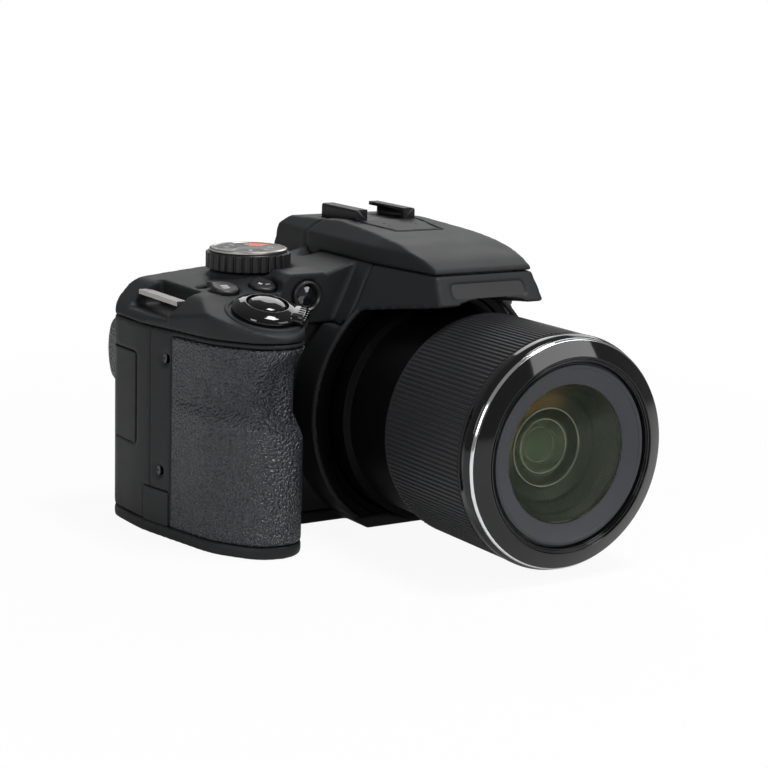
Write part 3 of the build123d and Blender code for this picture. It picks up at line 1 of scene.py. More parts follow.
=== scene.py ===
import json
from math import atan2, cos, pi, radians, sin

import bmesh
import bpy
from mathutils import Matrix, Vector


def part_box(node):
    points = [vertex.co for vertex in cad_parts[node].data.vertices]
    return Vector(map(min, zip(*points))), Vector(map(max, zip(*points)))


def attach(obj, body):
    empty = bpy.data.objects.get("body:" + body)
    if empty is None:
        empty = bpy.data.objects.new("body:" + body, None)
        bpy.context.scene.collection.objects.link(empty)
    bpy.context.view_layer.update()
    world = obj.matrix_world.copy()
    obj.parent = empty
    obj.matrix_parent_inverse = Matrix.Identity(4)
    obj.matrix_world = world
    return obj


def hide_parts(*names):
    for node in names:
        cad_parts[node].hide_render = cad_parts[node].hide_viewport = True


bl_info = {
    "name": "Bridge Camera",
    "version": (1, 0, 0),
    "blender": (4, 5, 0),
    "location": "3D View > Sidebar > Camera",
    "description": "Dresses a bridge camera with its finishes, lens, dials, buttons and studio",
    "category": "Object",
}

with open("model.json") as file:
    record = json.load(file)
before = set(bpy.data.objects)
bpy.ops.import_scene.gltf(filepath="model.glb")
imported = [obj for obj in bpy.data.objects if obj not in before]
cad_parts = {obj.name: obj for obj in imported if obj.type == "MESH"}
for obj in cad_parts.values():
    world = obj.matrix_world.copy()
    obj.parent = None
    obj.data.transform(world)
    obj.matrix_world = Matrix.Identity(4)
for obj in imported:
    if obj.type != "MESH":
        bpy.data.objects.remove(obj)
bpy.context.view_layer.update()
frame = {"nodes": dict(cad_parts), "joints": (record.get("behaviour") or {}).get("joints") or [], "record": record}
record = frame["record"]
body_of = {node: body for body, nodes in record["behaviour"]["bodies"].items() for node in nodes}
joints = {joint["name"]: joint for joint in frame["joints"]}

mm = 0.001
weld = 0.002 * mm
made = {}


# Places read from the frame

def low(node):
    """Lowest corner of a piece."""
    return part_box(node)[0]


def high(node):
    """Highest corner of a piece."""
    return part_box(node)[1]


def middle(node):
    """Centre of a piece's box."""
    return (low(node) + high(node)) / 2


def reach(node):
    """How far a piece comes forward, rear then front, counted along -Y."""
    return -high(node).y, -low(node).y


def round_size(node):
    """Radius of a piece that is round about an axis along Y."""
    return (high(node).x - low(node).x) / 2


def stand(origin, axis):
    """Matrix that puts a shape drawn about Z at a place, with its top along an axis."""
    turn = Vector(axis).to_track_quat("Z", "Y").to_matrix().to_4x4()
    return Matrix.Translation(Vector(origin)) @ turn


def lens_stand():
    """Matrix of the lens axis: heights become distances in front of the socket."""
    centre = middle("front_ring")
    return stand((centre.x, 0, centre.z), (0, -1, 0))


# Meshes

def linked(name, mesh, material=None):
    """New object of a mesh, in the scene."""
    piece = bpy.data.objects.new(name, mesh)
    bpy.context.scene.collection.objects.link(piece)
    if material:
        mesh.materials.clear()
        mesh.materials.append(material)
    return piece


def plain_mesh(piece):
    """Mesh of a piece as its modifiers leave it."""
    bpy.context.view_layer.update()
    graph = bpy.context.evaluated_depsgraph_get()
    return bpy.data.meshes.new_from_object(piece.evaluated_get(graph))


def smoothed(mesh, angle=30):
    """Smooth shading that stops at edges over an angle."""
    mesh.shade_smooth()
    mesh.set_sharp_from_angle(angle=radians(angle))


def shaped(name, shape, material, place=None, angle=30):
    """Object of a bmesh, welded, facing outwards and put in its place."""
    bmesh.ops.remove_doubles(shape, verts=shape.verts, dist=weld / 4)
    bmesh.ops.recalc_face_normals(shape, faces=shape.faces)
    mesh = bpy.data.meshes.new(name)
    shape.to_mesh(mesh)
    shape.free()
    if place:
        mesh.transform(place)
    smoothed(mesh, angle)
    return linked(name, mesh, material)


def lathe(shape, profile, steps=192):
    """Closed profile of (radius, height) points turned about Z."""
    rings = []
    for radius, height in profile:
        if radius < weld:
            rings.append([shape.verts.new((0, 0, height))] * steps)
        else:
            turns = [2 * pi * i / steps for i in range(steps)]
            rings.append([shape.verts.new((radius * cos(turn), radius * sin(turn), height))
                          for turn in turns])
    for first, second in zip(rings, rings[1:] + rings[:1]):
        for i in range(steps):
            corners = []
            for corner in (first[i - 1], first[i], second[i], second[i - 1]):
                if corner not in corners:
                    corners.append(corner)
            if len(corners) > 2:
                shape.faces.new(corners)


def eased(profile, ease, steps=4):
    """Closed profile with its corners rounded off."""
    side_share = 0.45
    result = []
    for index, (radius, height) in enumerate(profile):
        corner = Vector((radius, height))
        if radius < weld:
            result.append((radius, height))
            continue
        before = Vector(profile[index - 1]) - corner
        after = Vector(profile[(index + 1) % len(profile)]) - corner
        start = corner + before.normalized() * min(ease, before.length * side_share)
        end = corner + after.normalized() * min(ease, after.length * side_share)
        for step in range(steps + 1):
            share = step / steps
            point = start.lerp(corner, share).lerp(corner.lerp(end, share), share)
            result.append((max(point.x, 0), point.y))
    return result


def turned(name, profile, material, place, ease=0.2 * mm, steps=192):
    """Turned piece with rounded corners."""
    shape = bmesh.new()
    lathe(shape, eased(profile, ease) if ease else profile, steps)
    return shaped(name, shape, material, place)


def dome(radius, rim, bow, steps=16):
    """Points of a spherical cap from its rim to its top."""
    ball = (radius * radius + bow * bow) / (2 * bow)
    points = []
    for step in range(steps + 1):
        part = radius * (1 - step / steps)
        points.append((part, rim + (ball * ball - part * part) ** 0.5 - (ball - bow)))
    return points


def slab(shape, size, centre, ease):
    """Box with rounded edges, added to a bmesh."""
    corners = bmesh.ops.create_cube(shape, size=1)["verts"]
    for vert in corners:
        vert.co = Vector(vert.co[i] * size[i] + centre[i] for i in range(3))
    edges = list(dict.fromkeys(edge for vert in corners for edge in vert.link_edges))
    bmesh.ops.bevel(shape, geom=edges, offset=ease, segments=3, affect="EDGES", profile=0.5)


def flat_shape(shape, points, low_z, high_z):
    """Closed plate between two heights, from an outline."""
    lower = [shape.verts.new((x, y, low_z)) for x, y in points]
    upper = [shape.verts.new((x, y, high_z)) for x, y in points]
    shape.faces.new(lower)
    shape.faces.new(upper)
    for i in range(len(points)):
        shape.faces.new((lower[i - 1], lower[i], upper[i], upper[i - 1]))


def lettered(text, size, thickness, place, material, name):
    """Raised figure, made a plain mesh and put in its place."""
    curve = bpy.data.curves.new(name, "FONT")
    curve.body = text
    curve.size = size
    curve.extrude = thickness / 2
    curve.align_x = "CENTER"
    curve.align_y = "CENTER"
    holder = linked(name + "_curve", curve)
    mesh = plain_mesh(holder)
    bpy.data.objects.remove(holder)
    mesh.transform(place)
    return linked(name, mesh, material)


def joined(name, pieces):
    """One object from several, with each one's material kept."""
    shape = bmesh.new()
    mesh = bpy.data.meshes.new(name)
    for piece in pieces:
        material = piece.data.materials[0]
        if material.name not in mesh.materials:
            mesh.materials.append(material)
        first = len(shape.faces)
        shape.from_mesh(piece.data)
        shape.faces.ensure_lookup_table()
        for face in shape.faces[first:]:
            face.material_index = mesh.materials.find(material.name)
    shape.to_mesh(mesh)
    shape.free()
    for piece in pieces:
        bpy.data.objects.remove(piece)
    return linked(name, mesh)


# How a piece takes its place on the camera

def fit(piece, *nodes):
    """The piece stands for its nodes and rides on their body."""
    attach(piece, body_of[nodes[0]])
    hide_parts(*nodes)
    return piece


def carry(piece, node):
    """The piece is an addition on what carries it."""
    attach(piece, body_of[node])
    return piece


def welded(node):
    """Shape of a CAD piece with its loose triangles joined."""
    shape = bmesh.new()
    shape.from_mesh(frame["nodes"][node].data)
    bmesh.ops.remove_doubles(shape, verts=shape.verts, dist=weld)
    return shape


def welded_copy(node, material):
    """New object with a CAD piece's shape."""
    shape = welded(node)
    mesh = bpy.data.meshes.new(node + "_form")
    shape.to_mesh(mesh)
    shape.free()
    return linked(node + "_form", mesh, material)


def dress(node, material):
    """Smooth copy of a piece in its finish."""
    piece = welded_copy(node, material)
    smoothed(piece.data, 28)
    even = piece.modifiers.new("even_faces", "WEIGHTED_NORMAL")
    even.keep_sharp = True
    return fit(piece, node)


def soften(node, material, grain=0.5 * mm, passes=8, kept=1.0):
    """Copy of a moulded piece with its edges and hollows smoothed."""
    piece = welded_copy(node, material)
    even = piece.modifiers.new("even_faces", "REMESH")
    even.mode = "VOXEL"
    even.voxel_size = grain
    ease = piece.modifiers.new("soft_edges", "SMOOTH")
    ease.factor = 0.5
    ease.iterations = passes
    if kept < 1:
        thin = piece.modifiers.new("fewer_faces", "DECIMATE")
        thin.ratio = kept
    piece.data = plain_mesh(piece)
    piece.modifiers.clear()
    piece.data.materials.clear()
    piece.data.materials.append(material)
    for vert in piece.data.vertices:
        vert.co += finger_hollow(vert.co)
    piece.data.shade_smooth()
    return fit(piece, node)


def eased_share(value, start, end):
    """0 before start, 1 after end, smooth between."""
    share = min(max((value - start) / (end - start), 0), 1)
    return share * share * (3 - 2 * share)


def finger_hollow(point):
    """How the finger's hollow presses the front of the grip in at a point."""
    rear = -4 * mm
    lens_side = -47 * mm
    if point.y > rear or point.x > lens_side:
        return Vector((0, 0, 0))
    depth = 2.0 * mm
    inward = Vector((0.45, 0.89, 0))
    outer_end, ridge_fall = -76 * mm, 0.16
    ridge_foot = 37.5 * mm - (point.x - outer_end) * ridge_fall
    ridge_top = ridge_foot + 4.2 * mm
    round_grip = point.x * inward.y - point.y * inward.x
    across = eased_share(round_grip, -65 * mm, -54 * mm)
    upward = eased_share(point.z, ridge_foot, ridge_top)
    fading = 1 - eased_share(point.z, 43 * mm, 58 * mm)
    forward = eased_share(-point.y, -rear, 12 * mm)
    return inward * depth * across * upward * fading * forward


def loosened(piece, shares, anchor):
    """Draws a piece in towards an anchor point, to run free of what it moves in."""
    for vert in piece.data.vertices:
        for i in range(3):
            vert.co[i] = anchor[i] + (vert.co[i] - anchor[i]) * shares[i]
    return piece


def paint(node, material):
    """Finish on a piece that keeps its own mesh."""
    mesh = frame["nodes"][node].data
    mesh.materials.clear()
    mesh.materials.append(material)


# Nodes

def fed(tree, kind, feeds, result=0, **settings):
    """One output of a new node whose inputs are linked or given their values."""
    fresh = tree.nodes.new(kind)
    for name, value in settings.items():
        setattr(fresh, name, value)
    for socket, value in feeds.items():
        if isinstance(value, bpy.types.NodeSocket):
            tree.links.new(value, fresh.inputs[socket])
        else:
            fresh.inputs[socket].default_value = value
    return fresh.outputs[result]


def computed(tree, operation, *terms):
    """Output of a math node."""
    return fed(tree, "ShaderNodeMath", dict(enumerate(terms)), operation=operation)


# Geometry node trees for what repeats

def tree_with(name, inputs):
    """Geometry tree with named inputs, and the sockets that bring them in."""
    tree = bpy.data.node_groups.new(name, "GeometryNodeTree")
    tree.interface.new_socket(name="Geometry", in_out="INPUT", socket_type="NodeSocketGeometry")
    for label, kind in inputs:
        tree.interface.new_socket(name=label, in_out="INPUT", socket_type=kind)
    tree.interface.new_socket(name="Geometry", in_out="OUTPUT", socket_type="NodeSocketGeometry")
    return tree, tree.nodes.new("NodeGroupInput").outputs


def finish_tree(tree, entry, instances):
    """Realizes the copies and gives them the named material."""
    real = fed(tree, "GeometryNodeRealizeInstances", {"Geometry": instances})
    coat = fed(tree, "GeometryNodeSetMaterial", {"Geometry": real, "Material": entry["Material"]})
    leave = tree.nodes.new("NodeGroupOutput")
    tree.links.new(coat, leave.inputs["Geometry"])


def bar_nodes(tree, entry):
    """One bar about Z, as wide, tall and long as the inputs say."""
    bar = fed(tree, "GeometryNodeMeshCylinder", {
        "Vertices": entry["Sides"], "Radius": entry["Bar Radius"], "Depth": entry["Bar Length"]})
    squeeze = fed(tree, "ShaderNodeCombineXYZ", {"X": entry["Flatness"], "Y": 1, "Z": 1})
    return fed(tree, "GeometryNodeTransform", {"Geometry": bar, "Scale": squeeze})


BAR_INPUTS = (("Count", "NodeSocketInt"), ("Spread", "NodeSocketFloat"),
              ("Bar Radius", "NodeSocketFloat"), ("Bar Length", "NodeSocketFloat"),
              ("Flatness", "NodeSocketFloat"), ("Sides", "NodeSocketInt"),
              ("Material", "NodeSocketMaterial"))


def bars_on_circle_tree():
    """Bars set evenly round Z, each turned to face outwards; Spread is the circle's radius."""
    tree, entry = tree_with("bars_on_circle", BAR_INPUTS)
    circle = fed(tree, "GeometryNodeMeshCircle", {
        "Vertices": entry["Count"], "Radius": entry["Spread"]})
    index = fed(tree, "GeometryNodeInputIndex", {})
    angle = computed(tree, "MULTIPLY", computed(tree, "DIVIDE", index, entry["Count"]), 2 * pi)
    turn = fed(tree, "ShaderNodeCombineXYZ", {"Z": angle})
    turning = fed(tree, "FunctionNodeEulerToRotation", {"Euler": turn})
    copies = fed(tree, "GeometryNodeInstanceOnPoints", {
        "Points": circle, "Instance": bar_nodes(tree, entry), "Rotation": turning})
    finish_tree(tree, entry, copies)
    return tree


def bars_in_row_tree():
    """Bars set evenly along Y; Spread is the step between them."""
    tree, entry = tree_with("bars_in_row", BAR_INPUTS)
    step = fed(tree, "ShaderNodeCombineXYZ", {"Y": entry["Spread"]})
    line = fed(tree, "GeometryNodeMeshLine", {"Count": entry["Count"], "Offset": step})
    copies = fed(tree, "GeometryNodeInstanceOnPoints", {
        "Points": line, "Instance": bar_nodes(tree, entry)})
    finish_tree(tree, entry, copies)
    return tree


def copies_on_points_tree():
    """Copies of one screw on the points of a mesh, all turned alike."""
    tree, entry = tree_with("screws_on_points", (
        ("Screw", "NodeSocketObject"), ("Turn", "NodeSocketVector"),
        ("Material", "NodeSocketMaterial")))
    screw = fed(tree, "GeometryNodeObjectInfo", {"Object": entry["Screw"]}, "Geometry")
    turning = fed(tree, "FunctionNodeEulerToRotation", {"Euler": entry["Turn"]})
    copies = fed(tree, "GeometryNodeInstanceOnPoints", {
        "Points": entry["Geometry"], "Instance": screw, "Rotation": turning})
    finish_tree(tree, entry, copies)
    return tree


def grown(name, tree, values, place=None, points=()):
    """Plain mesh of what a tree makes with its inputs set."""
    mesh = bpy.data.meshes.new(name)
    mesh.from_pydata(list(points), [], [])
    piece = linked(name, mesh)
    modifier = piece.modifiers.new(name, "NODES")
    modifier.node_group = tree
    for item in tree.interface.items_tree:
        if item.in_out == "INPUT" and item.name in values:
            modifier[item.identifier] = values[item.name]
    result = plain_mesh(piece)
    piece.modifiers.remove(modifier)
    piece.data = result
    result.materials.clear()
    result.materials.append(values["Material"])
    if place:
        result.transform(place)
    smoothed(result, 50)
    return piece


def ribs_round(name, place, material, count, radius, width, rise, length, sides):
    """Rounded ribs set evenly round an axis."""
    values = {"Count": count, "Spread": radius, "Bar Radius": width / 2, "Bar Length": length,
              "Flatness": 2 * rise / width, "Sides": sides, "Material": material}
    return grown(name, bars_on_circle_tree(), values, place)


# Finishes

SHADER_INPUTS = {"specular": "Specular IOR Level", "metallic": "Metallic", "coat": "Coat Weight",
                 "coat_roughness": "Coat Roughness", "roughness": "Roughness", "ior": "IOR",
                 "clear": "Transmission Weight", "specular_tint": "Specular Tint"}


def blank(name, **inputs):
    """New node material with its shader and object coordinates."""
    material = bpy.data.materials.new(name)
    material.use_nodes = True
    tree = material.node_tree
    shader = tree.nodes["Principled BSDF"]
    for label, value in inputs.items():
        shader.inputs[SHADER_INPUTS[label]].default_value = value
    place = tree.nodes.new("ShaderNodeTexCoord").outputs["Object"]
    return material, tree, shader, place


def cloud(tree, place, size, detail=2.0):
    """Noise whose features are about as large as size."""
    return fed(tree, "ShaderNodeTexNoise", {
        "Vector": place, "Scale": 1 / size, "Detail": detail}, "Fac")


def cells(tree, place, size):
    """Rounded cells about as large as size."""
    return fed(tree, "ShaderNodeTexVoronoi", {
        "Vector": place, "Scale": 1 / size, "Smoothness": 0.35}, "Distance", feature="SMOOTH_F1")


def spread(tree, value, start, end):
    """A value from 0 to 1 taken to the range from start to end."""
    return fed(tree, "ShaderNodeMapRange", {
        "Value": value, "To Min": start, "To Max": end}, "Result")


def tinted(tree, value, first, second):
    """Colour between two, as the value goes from 0 to 1."""
    return fed(tree, "ShaderNodeMix", {"Factor": value, "A": (*first, 1), "B": (*second, 1)},
               "Result", data_type="RGBA")


def worn(tree, shader, colour, roughness, place, mottle, patch):
    """Base colour and roughness that vary a little over the surface."""
    broad = cloud(tree, place, patch, 4)
    darker = tuple(part * (1 - mottle) for part in colour)
    lighter = tuple(part * (1 + mottle) for part in colour)
    tree.links.new(tinted(tree, broad, darker, lighter), shader.inputs["Base Color"])
    swing = 0.12
    rough = spread(tree, broad, roughness * (1 - swing), roughness * (1 + swing))
    tree.links.new(rough, shader.inputs["Roughness"])


def relief(tree, shader, height, depth, edge=0.0):
    """Bump of a height, over edges that catch light as if rounded."""
    feeds = {"Height": height, "Strength": 1, "Distance": depth}
    if edge:
        feeds["Normal"] = fed(tree, "ShaderNodeBevel", {"Radius": edge}, samples=4)
    tree.links.new(fed(tree, "ShaderNodeBump", feeds), shader.inputs["Normal"])


def moulded(name, colour, roughness, specular, grain, depth, edge):
    """Moulded plastic with a fine spark-eroded grain."""
    material, tree, shader, place = blank(name, specular=specular)
    worn(tree, shader, colour, roughness, place, 0.10, 9 * mm)
    relief(tree, shader, cloud(tree, place, grain, 3), depth, edge)
    return material


def plated(name, colour, roughness, grain, depth, stretch=(1, 1, 1)):
    """Bare or plated metal with a drawn grain."""
    material, tree, shader, place = blank(name, metallic=1)
    drawn = fed(tree, "ShaderNodeMapping", {"Vector": place, "Scale": stretch})
    worn(tree, shader, colour, roughness, drawn, 0.12, 2 * mm)
    relief(tree, shader, cloud(tree, drawn, grain, 2), depth)
    return material


def inked(name, colour):
    """Printed mark."""
    material, tree, shader, place = blank(name)
    worn(tree, shader, colour, 0.45, place, 0.08, 0.6 * mm)
    return material


def body_plastic():
    """Matte dark shell of the body."""
    looks = bpy.context.scene.camera_finishes
    return moulded("body_plastic", looks.body_colour, looks.body_roughness, 0.26, 0.28 * mm,
                   0.012 * mm, 0.7 * mm)


def grip_rubber():
    """Soft rubber with a pebbled leather grain, with painted shade between the pebbles and a painted highlight on
    their crowns.
    """
    looks = bpy.context.scene.camera_finishes
    grain = looks.grip_grain
    sway = 0.3 * mm
    material, tree, shader, place = blank("grip_rubber", specular=0.85)
    warp = fed(tree, "ShaderNodeTexNoise", {"Vector": place, "Scale": 1 / grain}, "Color")
    drift = fed(tree, "ShaderNodeVectorMath", {0: warp, 1: (sway, sway, sway), 2: place},
                operation="MULTIPLY_ADD")
    pebbles = spread(tree, cells(tree, drift, grain), 1, 0)
    fine = cloud(tree, place, grain / 3, 2)
    rise = computed(tree, "MULTIPLY_ADD", fine, 0.25, pebbles)
    level = fed(tree, "ShaderNodeMapRange", {"Value": rise, "From Min": 0.35, "From Max": 1.15},
                "Result")
    # Painted shade and highlight: the colour darkens where the grain sinks and lightens where it rises.
    pit_shade = tuple(part * 0.35 for part in looks.grip_colour)
    top_highlight = tuple(part * 1.5 for part in looks.grip_colour)
    tree.links.new(tinted(tree, level, pit_shade, top_highlight), shader.inputs["Base Color"])
    tree.links.new(spread(tree, fine, 0.22, 0.40), shader.inputs["Roughness"])
    relief(tree, shader, rise, 0.9 * mm)
    return material


def gloss_black():
    """Polished black with faint ripple."""
    material, tree, shader, place = blank("gloss_black", specular=0.35, coat=0.3,
                                          coat_roughness=0.03)
    worn(tree, shader, (0.004, 0.004, 0.0045), 0.07, place, 0.1, 6 * mm)
    relief(tree, shader, cloud(tree, place, 4 * mm, 1), 0.006 * mm)
    return material


def display_glass():
    """Dark cover of the display."""
    material, tree, shader, place = blank("display_glass", coat=1, coat_roughness=0.02)
    worn(tree, shader, (0.008, 0.009, 0.012), 0.08, place, 0.2, 12 * mm)
    return material


def lens_glass():
    """Clear coated glass."""
    material, tree, shader, place = blank("lens_glass", clear=1, ior=1.25, roughness=0.0,
                                          specular_tint=(0.75, 1.0, 0.70, 1))
    tint = tinted(tree, cloud(tree, place, 12 * mm, 1), (0.90, 0.96, 0.88), (0.97, 0.93, 0.84))
    tree.links.new(tint, shader.inputs["Base Color"])
    return material


def deep_glass():
    """Dark inner elements in their green coating, with a painted reflection: an amber patch at the upper left,
    where a light mirrors in the coating.
    """
    looks = bpy.context.scene.camera_finishes
    reflection_across, reflection_up = -6 * mm, 8 * mm
    material, tree, shader, place = blank("deep_glass", specular=0.12, roughness=0.4)
    # Painted reflection: amber base colour in a round patch up and to the left of the lens axis.
    centred = fed(tree, "ShaderNodeMapping", {"Vector": place, "Location": (
        -reflection_across, 0, -reflection_up - middle("front_element").z)})
    flat = fed(tree, "ShaderNodeVectorMath", {0: centred, 1: (1, 0, 1)}, operation="MULTIPLY")
    away = fed(tree, "ShaderNodeVectorMath", {0: flat}, "Value", operation="LENGTH")
    patch = fed(tree, "ShaderNodeMapRange", {
        "Value": away, "From Min": 15 * mm, "From Max": 6 * mm}, "Result",
        interpolation_type="SMOOTHSTEP")
    tree.links.new(tinted(tree, patch, looks.coating_green, looks.amber_reflection),
                   shader.inputs["Base Color"])
    return material


def flash_window():
    """Milky window of the flash, with level ridges."""
    material, tree, shader, place = blank("flash_window", coat=0.5)
    worn(tree, shader, (0.55, 0.56, 0.56), 0.2, place, 0.05, 2 * mm)
    wave = fed(tree, "ShaderNodeTexWave", {"Vector": place, "Scale": 1 / (6 * mm)}, "Fac",
               bands_direction="Z")
    relief(tree, shader, wave, 0.1 * mm)
    return material


# Colour, roughness, specular level, grain, depth of the grain and rounding lent to edges
PLASTICS = {
    "barrel_black": ((0.0022, 0.0022, 0.0024), 0.42, 0.08, 0.2 * mm, 0.004 * mm, 0),
    "ribbed_black": ((0.022, 0.0225, 0.0245), 0.5, 0.36, 0.25 * mm, 0.008 * mm, 0),
    "baffle_grey": ((0.056, 0.058, 0.066), 0.62, 0.25, 0.2 * mm, 0.006 * mm, 0),
    "dial_black": ((0.016, 0.016, 0.018), 0.38, 0.45, 0.2 * mm, 0.004 * mm, 0.15 * mm),
    "board_green": ((0.03, 0.15, 0.06), 0.5, 0.4, 0.5 * mm, 0.01 * mm, 0),
    "cell_sleeve": ((0.04, 0.04, 0.06), 0.4, 0.5, 0.5 * mm, 0.01 * mm, 0),
}

# Colour, roughness, grain, depth of the grain and how it is drawn out
METALS = {
    "chrome": ((0.82, 0.83, 0.85), 0.09, 2 * mm, 0.002 * mm),
    "shoe_steel": ((0.045, 0.045, 0.048), 0.36, 0.4 * mm, 0.01 * mm, (1, 0.15, 1)),
    "bar_steel": ((0.50, 0.48, 0.45), 0.30, 0.3 * mm, 0.012 * mm, (0.2, 1, 1)),
    "screw_black": ((0.10, 0.10, 0.11), 0.38, 0.3 * mm, 0.008 * mm),
    "dial_silver": ((0.15, 0.148, 0.146), 0.40, 0.25 * mm, 0.006 * mm, (1, 0.2, 1)),
    "frame_aluminium": ((0.6, 0.6, 0.6), 0.4, 0.5 * mm, 0.01 * mm),
}

INKS = {"mark_white": (0.72, 0.72, 0.71), "mark_dark": (0.03, 0.03, 0.035),
        "mark_orange": (0.75, 0.13, 0.05)}

OTHERS = {"body_plastic": body_plastic, "grip_rubber": grip_rubber, "gloss_black": gloss_black,
          "display_glass": display_glass, "lens_glass": lens_glass, "deep_glass": deep_glass,
          "flash_window": flash_window}


def finish(name):
    """The finish of that name, made on first use."""
    if name not in made:
        if name in PLASTICS:
            made[name] = moulded(name, *PLASTICS[name])
        elif name in METALS:
            made[name] = plated(name, *METALS[name])
        elif name in INKS:
            made[name] = inked(name, INKS[name])
        else:
            made[name] = OTHERS[name]()
    return made[name]


# Sizes and colours that a user would change

class CameraFinishes(bpy.types.PropertyGroup):
    body_colour: bpy.props.FloatVectorProperty(
        name="Body colour", description="Colour of the moulded shells", subtype="COLOR",
        default=(0.0165, 0.0172, 0.0188))
    body_roughness: bpy.props.FloatProperty(
        name="Body roughness", description="How matte the shells are", default=0.52, min=0, max=1)
    grip_colour: bpy.props.FloatVectorProperty(
        name="Grip colour", description="Colour of the rubber", subtype="COLOR",
        default=(0.024, 0.027, 0.036))
    grip_grain: bpy.props.FloatProperty(
        name="Grip grain", description="Size of a pebble of the rubber's grain", unit="LENGTH",
        default=0.72 * mm)
    coating_green: bpy.props.FloatVectorProperty(
        name="Green coating", description="Darker tint inside the lens", subtype="COLOR",
        default=(0.003, 0.006, 0.003))
    # Colour of the painted reflection in the lens: the amber patch at its upper left.
    amber_reflection: bpy.props.FloatVectorProperty(
        name="Amber coating", description="Lighter tint inside the lens", subtype="COLOR",
        default=(0.14, 0.08, 0.03))


class CameraLens(bpy.types.PropertyGroup):
    rib_count: bpy.props.IntProperty(
        name="Ribs", description="Lengthwise ribs round the barrel", default=150, min=12)
    rib_width: bpy.props.FloatProperty(
        name="Rib width", description="Width of one rib", unit="LENGTH", default=0.84 * mm)
    rib_height: bpy.props.FloatProperty(
        name="Rib height", description="How far a rib stands out", unit="LENGTH",
        default=0.32 * mm)
    rib_margin: bpy.props.FloatProperty(
        name="Rib margin", description="Plain band at each end of the ribs", unit="LENGTH",
        default=1.1 * mm)
    glass_wall: bpy.props.FloatProperty(
        name="Glass thickness", description="Thickness of the front glass at its rim",
        unit="LENGTH", default=1.4 * mm)
    well_depth: bpy.props.FloatProperty(
        name="Well depth", description="Depth of the dark well behind the front glass",
        unit="LENGTH", default=17 * mm)


class CameraControls(bpy.types.PropertyGroup):
    knurl_count: bpy.props.IntProperty(
        name="Dial ribs", description="Ribs round the mode dial", default=30, min=8)
    figure_size: bpy.props.FloatProperty(
        name="Figure size", description="Height of a figure on the dial", unit="LENGTH",
        default=2.7 * mm)
    print_thickness: bpy.props.FloatProperty(
        name="Print thickness", description="Thickness of a printed mark", unit="LENGTH",
        default=0.04 * mm)
    tab_ribs: bpy.props.IntProperty(
        name="Tab ribs", description="Ribs on the zoom ring's tab", default=6, min=2)


class CameraStage(bpy.types.PropertyGroup):
    camera_place: bpy.props.FloatVectorProperty(
        name="Camera place", description="Where the viewer stands", subtype="XYZ", unit="LENGTH",
        default=(-320.19 * mm, -496.94 * mm, 157.55 * mm))
    camera_turn: bpy.props.FloatVectorProperty(
        name="Camera turn", description="Viewing direction and roll", subtype="EULER",
        default=(radians(78.413), radians(-1.714), radians(-32.505)))
    focal_length: bpy.props.FloatProperty(
        name="Focal length", description="Lens of the viewer, in millimetres", default=93.75)
    top_power: bpy.props.FloatProperty(
        name="Top light", description="Power of the box over the object", unit="POWER",
        default=4.2)
    side_power: bpy.props.FloatProperty(
        name="Side light", description="Power of the box at the left", unit="POWER", default=2.7)
    rear_power: bpy.props.FloatProperty(
        name="Rear light", description="Power of the box behind and above", unit="POWER",
        default=2.2)
    front_power: bpy.props.FloatProperty(
        name="Front light", description="Power of the box in front", unit="POWER", default=2.3)
    ambient: bpy.props.FloatProperty(
        name="Ambient", description="Strength of the light from all round", default=0.13, min=0)
    mirrored: bpy.props.FloatProperty(
        name="Mirrored white", description="Share of the white that a mirrored view shows",
        default=0.10, min=0, max=1)
    floor_white: bpy.props.FloatProperty(
        name="Floor white", description="How much of the floor's shade is lifted to white",
        default=0.93, min=0, max=1)
    fade_start: bpy.props.FloatProperty(
        name="Fade start", description="Distance at which the floor starts to fade to white",
        unit="LENGTH", default=0.10)
    fade_end: bpy.props.FloatProperty(
        name="Fade end", description="Distance from which the floor is white", unit="LENGTH",
        default=0.36)


# Operators

class BuildStage(bpy.types.Operator):
    """Make the white floor, the soft lights, the surroundings and the viewer"""
    bl_idname = "bridge_camera.stage"
    bl_label = "Stage"

    def execute(self, context):
        stage = context.scene.camera_stage
        white_floor(stage)
        surroundings(stage)
        soft_box("top_box", (0.12, -0.20, 0.80), 0.24, 0.24, stage.top_power)
        soft_box("side_box", (-0.85, -0.42, 0.42), 0.30, 0.40, stage.side_power)
        soft_box("rear_box", (0.50, 0.60, 0.56), 0.80, 0.40, stage.rear_power)
        soft_box("front_box", (0.42, -0.72, 0.46), 0.50, 0.40, stage.front_power)
        viewer(stage)
        context.scene.view_settings.view_transform = "Standard"
        return {"FINISHED"}


def seen_directly(tree, mirrored):
    """1 for rays from the viewer, and a share of it for a view in a mirror or through glass."""
    path = tree.nodes.new("ShaderNodeLightPath").outputs
    either = computed(tree, "MAXIMUM", path["Is Glossy Ray"], path["Is Transmission Ray"])
    share = computed(tree, "MULTIPLY", either, mirrored)
    return computed(tree, "MAXIMUM", share, path["Is Camera Ray"])


def white_floor(stage):
    """Wide pale floor that keeps a soft shadow."""
    shape = bmesh.new()
    bmesh.ops.create_circle(shape, cap_ends=True, segments=96, radius=4.0)
    gap = 0.05 * mm
    floor = shaped("floor", shape, None, Matrix.Translation((0, 0, low("bottom_cover").z - gap)))
    material, tree, shader, place = blank("floor_white", specular=0)
    worn(tree, shader, (0.84, 0.84, 0.84), 0.8, place, 0.01, 0.3)
    away = fed(tree, "ShaderNodeVectorMath", {0: place}, "Value", operation="LENGTH")
    fade = fed(tree, "ShaderNodeMapRange", {
        "Value": away, "From Min": stage.fade_start, "From Max": stage.fade_end,
        "To Min": stage.floor_white, "To Max": 1.0}, "Result", interpolation_type="SMOOTHSTEP")
    lift = computed(tree, "MULTIPLY", seen_directly(tree, stage.mirrored), fade)
    glow = fed(tree, "ShaderNodeEmission", {})
    mix = fed(tree, "ShaderNodeMixShader", {0: lift, 1: shader.outputs["BSDF"], 2: glow})
    tree.links.new(mix, tree.nodes["Material Output"].inputs["Surface"])
    floor.data.materials.append(material)


